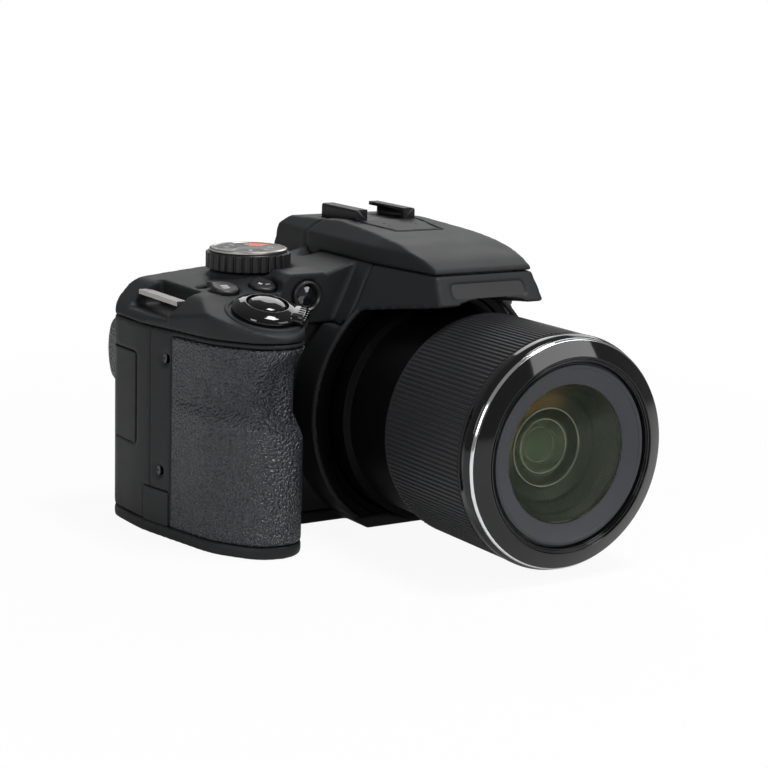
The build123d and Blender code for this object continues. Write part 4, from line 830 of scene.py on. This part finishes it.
def surroundings(stage):
    """White behind the object, and an even ambient light."""
    world = bpy.data.worlds.new("studio")
    bpy.context.scene.world = world
    world.use_nodes = True
    tree = world.node_tree
    back = tree.nodes["Background"]
    level = fed(tree, "ShaderNodeMix", {
        "Factor": seen_directly(tree, stage.mirrored), "A": stage.ambient, "B": 1.0}, "Result")
    tree.links.new(level, back.inputs["Strength"])
    back.inputs["Color"].default_value = (1, 1, 1, 1)


def soft_box(name, place, width, height, power):
    """Area light that points at the middle of the camera."""
    light = bpy.data.lights.new(name, "AREA")
    light.shape = "RECTANGLE"
    light.size = width
    light.size_y = height
    light.energy = power
    box = bpy.data.objects.new(name, light)
    bpy.context.scene.collection.objects.link(box)
    aim = middle("front_cover") - Vector(place)
    box.location = place
    box.rotation_euler = aim.to_track_quat("-Z", "Y").to_euler()


def viewer(stage):
    """Camera that looks at the object."""
    lens = bpy.data.cameras.new("viewer")
    lens.lens = stage.focal_length
    lens.clip_start = 0.01
    eye = bpy.data.objects.new("viewer", lens)
    bpy.context.scene.collection.objects.link(eye)
    eye.location = stage.camera_place
    eye.rotation_euler = stage.camera_turn
    bpy.context.scene.camera = eye


class BuildCasings(bpy.types.Operator):
    """Dress the shells of the body, the flash lid and the small covers"""
    bl_idname = "bridge_camera.casings"
    bl_label = "Casings"

    def execute(self, context):
        plastic = finish("body_plastic")
        for node in ("front_cover", "rear_cover", "top_cover", "bottom_cover"):
            soften(node, plastic, 0.6 * mm, 5, 0.5)
        soften("flash_lid", plastic, 0.42 * mm, 6, 0.7)
        for node in ("connector_cover", "dc_flap", "battery_door", "battery_latch",
                     "microphone_plate"):
            dress(node, plastic)
        dress("beak_plate", finish("dial_black"))
        lens_collar()
        dress("flash_lamp", finish("flash_window"))
        release_dish(plastic)
        return {"FINISHED"}


def lens_collar():
    """Collar at the root of the lens, cut off at the base seam."""
    rear, front = reach("lens_collar")
    outer = round_size("lens_collar") - 0.15 * mm
    inner = 32.8 * mm
    step = 35.1 * mm
    slope = 0.1 * mm
    flange = 3.4 * mm
    shelf = front - 1.0 * mm
    profile = [(inner, rear), (step - slope, rear), (step - slope, front - flange),
               (outer, front - flange), (outer, front), (step + slope, front),
               (step - slope, shelf), (inner, shelf)]
    shape = bmesh.new()
    lathe(shape, eased(profile, 0.25 * mm), 240)
    bmesh.ops.transform(shape, matrix=lens_stand(), verts=shape.verts)
    cut = bmesh.ops.bisect_plane(shape, geom=shape.verts[:] + shape.edges[:] + shape.faces[:],
                                 plane_co=(0, 0, low("lens_collar").z), plane_no=(0, 0, -1),
                                 clear_outer=True)
    rim = [item for item in cut["geom_cut"] if isinstance(item, bmesh.types.BMEdge)]
    bmesh.ops.holes_fill(shape, edges=rim)
    fit(shaped("lens_collar_form", shape, finish("barrel_black")), "lens_collar")


def release_dish(plastic):
    """Raised lip in the slope round the release."""
    joint = joints["zoom_lever_turn"]
    outer = 11.4 * mm
    inner = 10.0 * mm
    rise = 0.45 * mm
    profile = [(inner, -2 * rise), (outer + rise, -2 * rise), (outer, rise / 2),
               (inner + rise, rise)]
    dish = turned("release_dish", profile, plastic, stand(joint["pos_m"], joint["axis"]))
    carry(dish, "top_cover")


class BuildGrip(bpy.types.Operator):
    """Dress the rubber of the grip, the thumb rest and the eyecup"""
    bl_idname = "bridge_camera.grip"
    bl_label = "Grip"

    def execute(self, context):
        rubber = finish("grip_rubber")
        cover_flank(rubber)
        soften("grip_skin", rubber)
        soften("thumb_rest", rubber)
        dress("eyecup", finish("dial_black"))
        return {"FINISHED"}


def cover_flank(rubber):
    """Rubber on the finger side of the grip, where the hollow thins the skin."""
    mesh = bpy.data.objects["front_cover_form"].data
    mesh.materials.append(rubber)
    lens_side, rear = -43 * mm, -26 * mm
    foot, top = 30 * mm, 57 * mm
    front = low("grip_skin").y
    for face in mesh.polygons:
        spot = face.center
        if spot.x < lens_side and front < spot.y < rear and foot < spot.z < top:
            face.material_index = 1


class BuildBarrels(bpy.types.Operator):
    """Make the smooth barrels and the ribbed one"""
    bl_idname = "bridge_camera.barrels"
    bl_label = "Barrels"

    def execute(self, context):
        smooth_barrels()
        ribbed_barrel(context.scene.camera_lens)
        return {"FINISHED"}


def lens_piece(node, profile, coat, ease=0.2 * mm):
    """Turned piece on the lens axis, in place of its node."""
    fit(turned(node + "_form", profile, finish(coat), lens_stand(), ease), node)


def smooth_barrels():
    """Fixed barrel with its ridge, and the middle barrel that slides in it."""
    rear, front = reach("fixed_barrel")
    ridge = round_size("fixed_barrel")
    radius = ridge - 1.9 * mm
    bore = radius - 1.2 * mm
    ridge_start, ridge_end = rear + 9.5 * mm, rear + 22 * mm
    lens_piece("fixed_barrel", [
        (bore, rear), (radius, rear), (radius, ridge_start), (ridge, ridge_start + 0.1 * mm),
        (ridge, ridge_end), (radius, ridge_end + 0.9 * mm), (radius, front), (bore, front)],
        "barrel_black")
    rear, front = reach("middle_barrel")
    outer = round_size("middle_barrel")
    bore = outer - 1.1 * mm
    lens_piece("middle_barrel", [(bore, rear), (outer, rear), (outer, front), (bore, front)],
               "barrel_black")


def ribbed_barrel(sizes):
    """Sleeve, closed front wall and inner tube, with ribs grown round the sleeve."""
    black = finish("ribbed_black")
    rear, front = reach("ribbed_barrel")
    sleeve_rear = front - 36.2 * mm
    base = round_size("ribbed_barrel") - sizes.rib_height
    bore = round_size("fixed_barrel") - 1.6 * mm
    tube_outer = round_size("middle_barrel") - 1.3 * mm
    tube_bore = tube_outer - 1.1 * mm
    wall = front - 3.4 * mm
    profile = [(tube_bore, rear), (tube_outer, rear), (tube_outer, wall), (bore, wall),
               (bore, sleeve_rear), (base, sleeve_rear), (base, front), (tube_bore, front)]
    sleeve = turned("sleeve", profile, black, lens_stand(), steps=300)
    place = lens_stand() @ Matrix.Translation((0, 0, (front + sleeve_rear) / 2))
    ribs = ribs_round("ribs", place, black, sizes.rib_count, base, sizes.rib_width,
                      sizes.rib_height, front - sleeve_rear - 2 * sizes.rib_margin, sides=12)
    fit(joined("ribbed_barrel_form", [sleeve, ribs]), "ribbed_barrel")


class BuildLensFront(bpy.types.Operator):
    """Make the rings, the glass and the dark well of the lens"""
    bl_idname = "bridge_camera.lens_front"
    bl_label = "Lens front"

    def execute(self, context):
        lens_rings()
        lens_well(context.scene.camera_lens)
        return {"FINISHED"}


def lens_rings():
    """Polished ring, bright line, bare name ring with its two grooves, and the flat baffle."""
    bright = round_size("chrome_ring")
    inner = 26.7 * mm
    step = 25.05 * mm
    rear, front = reach("front_ring")
    outer = round_size("front_ring")
    lens_piece("front_ring", [(inner, rear), (outer, rear), (outer, rear + 2 * mm),
                              (bright + 0.1 * mm, front), (inner, front)],
               "gloss_black", 0.35 * mm)
    rear, front = reach("chrome_ring")
    lens_piece("chrome_ring", [(inner, rear), (bright, rear), (bright, (rear + front) / 2),
                               (bright - 0.4 * mm, front), (inner, front)],
               "chrome", 0.18 * mm)
    rear, front = reach("name_ring")
    outer = round_size("name_ring")
    outer_groove, inner_groove = front - 0.5 * mm, front - 0.65 * mm
    flat = front - 0.15 * mm
    lens_piece("name_ring", [
        (step, rear), (outer, rear), (outer, rear + 0.25 * mm), (inner, front),
        (inner - 0.25 * mm, front), (inner - 0.35 * mm, outer_groove),
        (inner - 0.65 * mm, outer_groove), (inner - 0.75 * mm, flat), (step + 0.65 * mm, flat),
        (step + 0.55 * mm, inner_groove), (step + 0.25 * mm, inner_groove),
        (step + 0.15 * mm, front - 0.35 * mm), (step, front - 0.9 * mm)],
        "gloss_black", 0.12 * mm)
    rear, front = reach("front_baffle")
    outer = round_size("front_baffle")
    glass = round_size("front_element") + 0.1 * mm
    seat = rear + 3.4 * mm
    flange = step + 0.15 * mm
    mouth = step - 0.1 * mm
    shelf = front - 0.9 * mm
    profile = [(glass, rear), (flange, rear), (flange, seat), (mouth, seat), (mouth, shelf),
               (24.4 * mm, shelf), (24.3 * mm, front - 0.1 * mm), (23.4 * mm, front),
               (23.2 * mm, front - 0.3 * mm), (glass, front - 1.9 * mm)]
    lens_piece("front_baffle", [(min(radius, outer), height) for radius, height in profile],
               "baffle_grey", 0.08 * mm)


def lens_well(sizes):
    """Curved front glass over a dark well with its inner lenses and their edges."""
    radius = round_size("front_element")
    rim = reach("front_element")[1] - 2.2 * mm
    clear = finish("lens_glass")
    back = [(part, height - sizes.glass_wall) for part, height in dome(radius, rim, 1.2 * mm)]
    glass = turned("front_glass", dome(radius, rim, 2.1 * mm) + back[::-1], clear, lens_stand(), 0)
    bottom = rim - sizes.well_depth
    foot = bottom - 1 * mm
    throat = 10.4 * mm
    shelf = rim - 9.4 * mm
    profile = [(radius, rim - 2 * mm), (17.2 * mm, rim - 4 * mm), (16.8 * mm, rim - 5 * mm),
               (14.6 * mm, rim - 7 * mm), (14.2 * mm, rim - 8.2 * mm), (throat + 1.2 * mm, shelf),
               (throat, shelf), (throat, bottom), (0, bottom), (0, foot),
               (throat + 2 * mm, foot), (radius, rim - 6 * mm)]
    pieces = [glass, turned("lens_well", profile, finish("deep_glass"), lens_stand())]
    line = 0.18 * mm
    seat = 0.6 * mm
    depth_behind = 2.4 * mm
    land = 0.8 * mm
    for lens, depth, bow in ((throat, 8.8 * mm, 1.6 * mm), (7.0 * mm, 10.8 * mm, 1.1 * mm),
                             (4.2 * mm, 13.2 * mm, 0.8 * mm)):
        edge = rim - depth
        holder = [(lens, edge), (lens + line, edge), (lens + line, edge - seat),
                  (lens, edge - seat)]
        pieces.append(turned("lens_edge", holder, finish("bar_steel"), lens_stand(), 0.05 * mm, 96))
        flat = edge - depth_behind
        inner = dome(lens, edge - seat, bow) + [(0, flat), (lens, flat)]
        pieces.append(turned("inner_lens", inner, clear, lens_stand(), 0, 96))
        if lens < throat:
            top, under = edge - 0.4 * mm, edge - 1.2 * mm
            collar = [(lens + land, top), (throat, top), (throat, under), (lens + land, under)]
            pieces.append(turned("inner_stop", collar, finish("barrel_black"), lens_stand(),
                                 0.1 * mm, 96))
    fit(joined("front_element_form", pieces), "front_element")


class BuildModeDial(bpy.types.Operator):
    """Make the knurled mode dial and its marked disc"""
    bl_idname = "bridge_camera.mode_dial"
    bl_label = "Mode dial"

    def execute(self, context):
        sizes = context.scene.camera_controls
        centre = Vector(joints["mode_turn"]["pos_m"])
        centre.z = 0
        place = Matrix.Translation(centre)
        radius = high("mode_dial").x - centre.x
        top = high("mode_dial_cap").z
        dial_body(sizes, place, radius, top)
        dial_disc(sizes, place, radius, top)
        return {"FINISHED"}


def dial_body(sizes, place, radius, top):
    """Dial with rounded ribs round its side and a shaft into the body."""
    black = finish("dial_black")
    core = radius - 0.75 * mm
    foot = 72.9 * mm
    shaft = 2.8 * mm
    click_radius = 5.5 * mm
    click = low("mode_dial").z
    click_top = click + 1.6 * mm
    profile = [(0, click), (click_radius, click), (click_radius, click_top), (shaft, click_top),
               (shaft, foot), (core - 0.5 * mm, foot), (core, foot + 0.4 * mm),
               (core, top - 1.6 * mm), (core - 0.9 * mm, top - 0.7 * mm),
               (core - 1.2 * mm, top - 0.6 * mm), (0, top - 0.8 * mm)]
    core_piece = turned("dial_core", profile, black, place, 0.25 * mm, 160)
    filled = 0.86
    width = 2 * pi * core / sizes.knurl_count * filled
    lift = Matrix.Translation((0, 0, (top + foot) / 2 - 0.45 * mm))
    ribs = ribs_round("dial_ribs", place @ lift, black, sizes.knurl_count, core - 0.05 * mm, width,
                      0.8 * mm, top - foot - 1.9 * mm, sides=20)
    fit(joined("mode_dial_form", [core_piece, ribs]), "mode_dial")


def dial_disc(sizes, place, radius, top):
    """Silver disc with its bright rim, sectors and plain figures."""
    rim = radius - 1.05 * mm
    seat = rim - 1.1 * mm
    under = top - 0.9 * mm
    face = top - 0.22 * mm
    disc = [(0, under), (seat, under), (seat, face), (0, face)]
    ring = [(seat, under), (rim, under), (rim, top - 0.3 * mm), (rim - 0.5 * mm, top),
            (rim - 0.8 * mm, top), (seat, face)]
    pieces = [turned("disc", disc, finish("dial_silver"), place, 0.02 * mm, 160),
              turned("rim", ring, finish("bar_steel"), place, 0.08 * mm, 160)]
    thick = sizes.print_thickness
    for start, end, ink in ((18, 60, "mark_orange"), (64, 168, "mark_dark"),
                            (215, 292, "mark_dark")):
        pieces.append(sector(start, end, face, thick, place, finish(ink)))
    figures = 8
    figure_radius = 6.2 * mm
    for count in range(figures):
        angle = 2 * pi * (count + 0.5) / figures
        spot = Matrix.Translation((figure_radius * cos(angle), figure_radius * sin(angle),
                                   face + 1.5 * thick))
        turn = Matrix.Rotation(angle - pi / 2, 4, "Z")
        pieces.append(lettered(str(count + 1), sizes.figure_size, thick, place @ spot @ turn,
                               finish("mark_white"), "figure"))
    fit(joined("mode_dial_cap_form", pieces), "mode_dial_cap")


def sector(start, end, face, thickness, place, material):
    """Printed part of a ring between two angles in degrees."""
    steps = 16
    inner, outer = 3.4 * mm, 9.2 * mm
    turns = [radians(start + (end - start) * step / steps) for step in range(steps + 1)]
    points = [(outer * cos(turn), outer * sin(turn)) for turn in turns]
    points += [(inner * cos(turn), inner * sin(turn)) for turn in reversed(turns)]
    shape = bmesh.new()
    flat_shape(shape, points, face, face + thickness)
    return shaped("sector", shape, material, place)


class BuildRelease(bpy.types.Operator):
    """Make the shutter button and the zoom ring with its ribbed tab"""
    bl_idname = "bridge_camera.release"
    bl_label = "Release"

    def execute(self, context):
        joint = joints["zoom_lever_turn"]
        place = stand(joint["pos_m"], joint["axis"])
        gloss = finish("gloss_black")
        outer = 9.6 * mm
        bore = 5.85 * mm
        neck = 7.6 * mm
        foot = -2.3 * mm
        height = 3.3 * mm
        profile = [(bore, foot), (neck, foot), (neck, 0.1 * mm), (outer, 0.1 * mm),
                   (outer, 1.1 * mm), (9.3 * mm, 1.7 * mm), (8.6 * mm, 2.25 * mm),
                   (neck, 2.75 * mm), (6.6 * mm, 3.1 * mm), (bore + 0.1 * mm, height),
                   (bore, height - 0.3 * mm)]
        ring = turned("zoom_ring", profile, gloss, place, 0.3 * mm)
        pieces = [ring] + zoom_tab(context.scene.camera_controls, place, gloss)
        fit(joined("zoom_lever_form", pieces), "zoom_lever")
        cap = 5.7 * mm
        profile = [(0, 4.2 * mm), (2.2 * mm, 4.12 * mm), (3.9 * mm, 3.8 * mm),
                   (5.0 * mm, 3.3 * mm), (cap, 2.5 * mm), (cap, foot), (0, foot)]
        fit(turned("shutter_button_form", profile, gloss, place, 0.5 * mm), "shutter_button")
        return {"FINISHED"}


def zoom_tab(sizes, place, gloss):
    """Tab of the zoom ring, towards the lens, with ribs over its end."""
    towards_lens = radians(-40)
    aim = Vector((cos(towards_lens), sin(towards_lens), 0))
    flat = place.to_3x3().inverted() @ aim
    turn = place @ Matrix.Rotation(atan2(flat.y, flat.x), 4, "Z")
    start, end = 6.6 * mm, 11.2 * mm
    width = 9.4 * mm
    height = 2.7 * mm
    gap = 0.12 * mm
    shape = bmesh.new()
    slab(shape, (end - start, width, height), ((end + start) / 2, 0, height / 2 + gap), 1.0 * mm)
    tab = shaped("tab", shape, gloss, turn, 40)
    ribbed = width - 1.6 * mm
    top_length = 1.6 * mm
    values = {"Count": sizes.tab_ribs, "Spread": ribbed / (sizes.tab_ribs - 1),
              "Bar Radius": 0.3 * mm, "Bar Length": top_length, "Flatness": 1.0, "Sides": 10,
              "Material": gloss}
    lying = Matrix.Rotation(radians(90), 4, "Y")
    over = grown("tab_ribs_top", bars_in_row_tree(), values,
                 turn @ Matrix.Translation((end - top_length, -ribbed / 2, height)) @ lying)
    values["Bar Length"] = height - 0.7 * mm
    front = grown("tab_ribs_front", bars_in_row_tree(), values,
                  turn @ Matrix.Translation((end - 0.1 * mm, -ribbed / 2, height / 2)))
    return [tab, over, front]


class BuildButtons(bpy.types.Operator):
    """Make the buttons and wheels of the top and the back, with their marks"""
    bl_idname = "bridge_camera.buttons"
    bl_label = "Buttons"

    def execute(self, context):
        sizes = context.scene.camera_controls
        top_buttons(sizes)
        rear_buttons(sizes)
        wheels()
        return {"FINISHED"}


def button_frame(node):
    """Place of a button's face, looking out of the body."""
    inward = next(Vector(joint["axis"]) for joint in joints.values()
                  if joint["child"] == body_of[node])
    outward = -inward
    points = [vert.co for vert in frame["nodes"][node].data.vertices]
    tip = max(point.dot(outward) for point in points)
    face = [point for point in points if point.dot(outward) > tip - 0.05 * mm]
    lows = Vector(min(point[i] for point in face) for i in range(3))
    highs = Vector(max(point[i] for point in face) for i in range(3))
    centre = (lows + highs) / 2
    return stand(centre + outward * (tip - centre.dot(outward)), outward)


def marked_button(node, radius, outlines, ink, thick):
    """Round cap with a dished face and a printed mark, over the flange that keeps it in."""
    place = button_frame(node)
    sunk = 0.25 * mm
    depth = 3.2 * mm
    face = -0.22 * mm
    profile = [(0, -sunk), (radius * 0.6, -sunk * 0.7), (radius * 0.86, 0), (radius, -0.35 * mm),
               (radius, -depth), (0, -depth)]
    cap = turned(node + "_cap", profile, finish("dial_black"), place, 0.25 * mm, 96)
    shape = bmesh.new()
    for outline, layer in outlines:
        bottom = face + layer * thick
        flat_shape(shape, [(x * mm, y * mm) for x, y in outline], bottom, bottom + thick)
    mark = shaped(node + "_mark", shape, finish(ink), place)
    fit(joined(node + "_form", [cap, mark]), node)


def bar(x, y, width, height):
    """Outline of a small printed bar."""
    left, right = x - width / 2, x + width / 2
    foot, top = y - height / 2, y + height / 2
    return [(left, foot), (right, foot), (right, top), (left, top)]


def top_buttons(sizes):
    """Burst and exposure buttons with a mark each, and the power slide."""
    line = 0.32
    stack = [(bar(0, y, 2.2, line), 0) for y in (-0.8, 0, 0.8)]
    plus_minus = [(bar(-0.9, 0.3, 1.5, line), 0), (bar(-0.9, 0.3, line, 1.5), 1),
                  (bar(1.1, -0.4, 1.4, line), 0)]
    for node, outlines in (("burst_button", stack), ("exposure_button", plus_minus)):
        marked_button(node, 3.8 * mm, outlines, "mark_white", sizes.print_thickness)
    loosened(dress("power_switch", finish("dial_black")), (0.95, 0.95, 1), middle("power_switch"))


def rear_buttons(sizes):
    """Round buttons of the back and the flash button, with plain marks."""
    spot = [(cos(pi * i / 8), sin(pi * i / 8)) for i in range(16)]
    bolt = [(0.3, 1.2), (-0.6, -0.1), (0.0, -0.1), (-0.3, -1.2), (0.6, 0.1), (0.0, 0.1)]
    for node, radius, outline, ink in (
            ("playback_button", 2.8, [(-0.8, -0.9), (1.0, 0.0), (-0.8, 0.9)], "mark_white"),
            ("movie_button", 2.8, spot, "mark_orange"),
            ("display_button", 2.8, bar(0, 0, 2.2, 0.5), "mark_white"),
            ("evf_button", 2.6, bar(0, 0, 1.6, 1.2), "mark_white"),
            ("flash_button", 3.0, bolt, "mark_white")):
        marked_button(node, radius * mm, [(outline, 0)], ink, sizes.print_thickness)
    face_middle = middle("selector_ring")
    face_middle.y = high("selector_ring").y
    loosened(dress("selector_ring", finish("dial_black")), (0.97, 0.85, 0.97), face_middle)
    dress("ok_button", finish("gloss_black"))
    ring_marks(sizes.print_thickness, stand(face_middle, (0, 1, 0)))


def ring_marks(thick, place):
    """Four small arrows on the selector ring."""
    tip, foot, half = 8.1 * mm, 7.0 * mm, 0.7 * mm
    shape = bmesh.new()
    for turn in range(4):
        across, up = cos(pi / 2 * turn), sin(pi / 2 * turn)
        points = [(tip * across, tip * up), (foot * across - half * up, foot * up + half * across),
                  (foot * across + half * up, foot * up - half * across)]
        flat_shape(shape, points, -thick, 0)
    carry(shaped("selector_arrows", shape, finish("mark_white"), place), "selector_ring")


def wheels():
    """Command dial and the finder's focus wheel, ribbed all round."""
    black = finish("dial_black")
    axle_radius = 1.2 * mm
    filled = 0.7
    for node, joint, radius, count in (("command_dial", "command_turn", 7.6 * mm, 40),
                                       ("diopter_wheel", "diopter_turn", 4.4 * mm, 26)):
        axis = Vector(joints[joint]["axis"])
        centre = Vector(joints[joint]["pos_m"])
        points = [vert.co.dot(axis) - centre.dot(axis)
                  for vert in frame["nodes"][node].data.vertices]
        foot = min(points)
        top = min(max(points), foot + 4.5 * mm)
        place = stand(centre, axis)
        core = radius - 0.45 * mm
        profile = [(0, foot), (core, foot), (core, top), (0, top)]
        wheel = turned("wheel_core", profile, black, place, 0.3 * mm, 120)
        if max(points) > top:
            root = top - 0.2 * mm
            profile = [(0, root), (axle_radius, root), (axle_radius, max(points)),
                       (0, max(points))]
            axle = turned("wheel_axle", profile, black, place, 0.1 * mm, 48)
            wheel = joined("wheel_core", [wheel, axle])
        ribs = ribs_round("wheel_ribs", place @ Matrix.Translation((0, 0, (top + foot) / 2)),
                          black, count, core, 2 * pi * core / count * filled, 0.45 * mm,
                          top - foot - 0.5 * mm, sides=12)
        fit(joined(node + "_form", [wheel, ribs]), node)


class BuildMetalwork(bpy.types.Operator):
    """Dress the shoe, the strap bars and the socket, and set the screws"""
    bl_idname = "bridge_camera.metalwork"
    bl_label = "Metalwork"

    def execute(self, context):
        dress("hot_shoe", finish("shoe_steel"))
        dress("strap_lugs", finish("bar_steel"))
        dress("tripod_socket", finish("bar_steel"))
        screws()
        return {"FINISHED"}


def screw_body(name, radius, thickness, length):
    """Screw with a cross in its head, its face at the origin and its shank along -Z."""
    black = finish("screw_black")
    shank = 1.0 * mm
    profile = [(0, 0), (radius, 0), (radius, -thickness), (shank, -thickness), (shank, -length),
               (0, -length)]
    screw = turned(name, profile, black, Matrix.Identity(4), 0.18 * mm, 48)
    long, narrow, deep = radius * 1.25, radius * 0.28, thickness * 1.2
    shape = bmesh.new()
    slab(shape, (long, narrow, deep), (0, 0, 0), radius * 0.08)
    slab(shape, (narrow, long, deep), (0, 0, 0), radius * 0.08)
    cross = shaped(name + "_cross", shape, black)
    cut = screw.modifiers.new("cross", "BOOLEAN")
    cut.operation = "DIFFERENCE"
    cut.use_self = True
    cut.object = cross
    mesh = plain_mesh(screw)
    screw.modifiers.clear()
    screw.data = mesh
    bpy.data.objects.remove(cross)
    return screw


def loose_parts(node):
    """Corners of each separate solid in a node."""
    shape = welded(node)
    left = dict.fromkeys(shape.verts)
    parts = []
    while left:
        front = [left.popitem()[0]]
        found = list(front)
        while front:
            vert = front.pop()
            for edge in vert.link_edges:
                other = edge.other_vert(vert)
                if other in left:
                    del left[other]
                    front.append(other)
                    found.append(other)
        parts.append([vert.co.copy() for vert in found])
    shape.free()
    return parts


def screws():
    """Side and base screws, one kind of copy each."""
    outward_side = side_direction()
    base_height = 1 * mm
    face_depth = 0.02 * mm
    sunk = 0.45 * mm
    groups = {"side": [], "base": []}
    for points in loose_parts("case_screws"):
        lowest = min(point.z for point in points)
        if lowest < base_height:
            face = [point for point in points if point.z < lowest + face_depth]
            groups["base"].append(sum(face, Vector()) / len(face))
        else:
            tip = max(point.dot(outward_side) for point in points)
            face = [point for point in points if point.dot(outward_side) > tip - face_depth]
            groups["side"].append(sum(face, Vector()) / len(face) - outward_side * sunk)
    pieces = []
    for kind, outward, radius in (("side", outward_side, 1.9 * mm),
                                  ("base", Vector((0, 0, -1)), 1.7 * mm)):
        screw = screw_body("screw_" + kind, radius, 0.8 * mm, 4.6 * mm)
        turn = outward.to_track_quat("Z", "Y").to_euler()
        values = {"Screw": screw, "Turn": tuple(turn), "Material": finish("screw_black")}
        pieces.append(grown("screws_" + kind, copies_on_points_tree(), values,
                            points=groups[kind]))
        bpy.data.objects.remove(screw)
    fit(joined("case_screws_form", pieces), "case_screws")


def side_direction():
    """Way out of the side wall in front of the seam."""
    hinge = Vector(joints["dc_flap_swing"]["pos_m"])
    rear = Vector(joints["connector_cover_swing"]["pos_m"])
    along = rear - hinge
    return Vector((-along.y, along.x, 0)).normalized()


class BuildLamp(bpy.types.Operator):
    """Make the focus lamp in its dark ring"""
    bl_idname = "bridge_camera.lamp"
    bl_label = "Focus lamp"

    def execute(self, context):
        centre = middle("af_lamp_bezel")
        place = stand((centre.x, 0, centre.z), (0, -1, 0))
        rear, front = reach("af_lamp_bezel")
        outer = round_size("af_lamp_bezel")
        bore = round_size("af_lamp_lens") + 0.1 * mm
        slope = 0.5 * mm
        profile = [(bore, rear), (outer, rear), (outer, front - 0.3 * mm), (outer - slope, front),
                   (bore + slope, front), (bore, front - 0.6 * mm)]
        fit(turned("af_lamp_bezel_form", profile, finish("dial_black"), place, 0.2 * mm, 96),
            "af_lamp_bezel")
        rear, front = reach("af_lamp_lens")
        radius = round_size("af_lamp_lens")
        bow = 0.9 * mm
        profile = dome(radius, front - bow, bow) + [(0, rear), (radius, rear)]
        fit(turned("af_lamp_lens_form", profile, finish("display_glass"), place, 0, 96),
            "af_lamp_lens")
        return {"FINISHED"}


class BuildBack(bpy.types.Operator):
    """Dress the display, its bracket and the finder's window"""
    bl_idname = "bridge_camera.back"
    bl_label = "Display and finder"

    def execute(self, context):
        dress("lcd_shell", finish("body_plastic"))
        dress("lcd_bracket", finish("dial_black"))
        dress("lcd_window", finish("display_glass"))
        dress("eyepiece_lens", finish("display_glass"))
        return {"FINISHED"}


class BuildInside(bpy.types.Operator):
    """Paint the pieces inside the body and the lens"""
    bl_idname = "bridge_camera.inside"
    bl_label = "Inside"

    def execute(self, context):
        inside = {"barrel_black": ("zoom_cell", "iris_unit", "focus_cell"),
                  "frame_aluminium": ("chassis_frame",),
                  "board_green": ("image_sensor", "main_board"),
                  "cell_sleeve": ("battery", "flash_capacitor", "evf_tube")}
        for name, nodes in inside.items():
            for node in nodes:
                paint(node, finish(name))
        return {"FINISHED"}


class CameraPanel(bpy.types.Panel):
    """Steps and sizes of the camera"""
    bl_idname = "VIEW3D_PT_bridge_camera"
    bl_label = "Bridge Camera"
    bl_space_type = "VIEW_3D"
    bl_region_type = "UI"
    bl_category = "Camera"

    def draw(self, context):
        for name in GROUPS:
            group = getattr(context.scene, name)
            for key in group.__annotations__:
                self.layout.prop(group, key)
        for step in STEPS:
            self.layout.operator(step.bl_idname)


GROUPS = {"camera_finishes": CameraFinishes, "camera_lens": CameraLens,
          "camera_controls": CameraControls, "camera_stage": CameraStage}
STEPS = (BuildStage, BuildCasings, BuildGrip, BuildBarrels, BuildLensFront, BuildModeDial,
         BuildRelease, BuildButtons, BuildMetalwork, BuildLamp, BuildBack, BuildInside)


def register():
    for name, group in GROUPS.items():
        bpy.utils.register_class(group)
        setattr(bpy.types.Scene, name, bpy.props.PointerProperty(type=group))
    for step in STEPS:
        bpy.utils.register_class(step)
    bpy.utils.register_class(CameraPanel)


def unregister():
    bpy.utils.unregister_class(CameraPanel)
    for step in reversed(STEPS):
        bpy.utils.unregister_class(step)
    for name, group in GROUPS.items():
        delattr(bpy.types.Scene, name)
        bpy.utils.unregister_class(group)


def main():
    """Builds everything."""
    register()
    for step in STEPS:
        group, name = step.bl_idname.split(".")
        getattr(getattr(bpy.ops, group), name)()


if __name__ == "__main__":
    main()
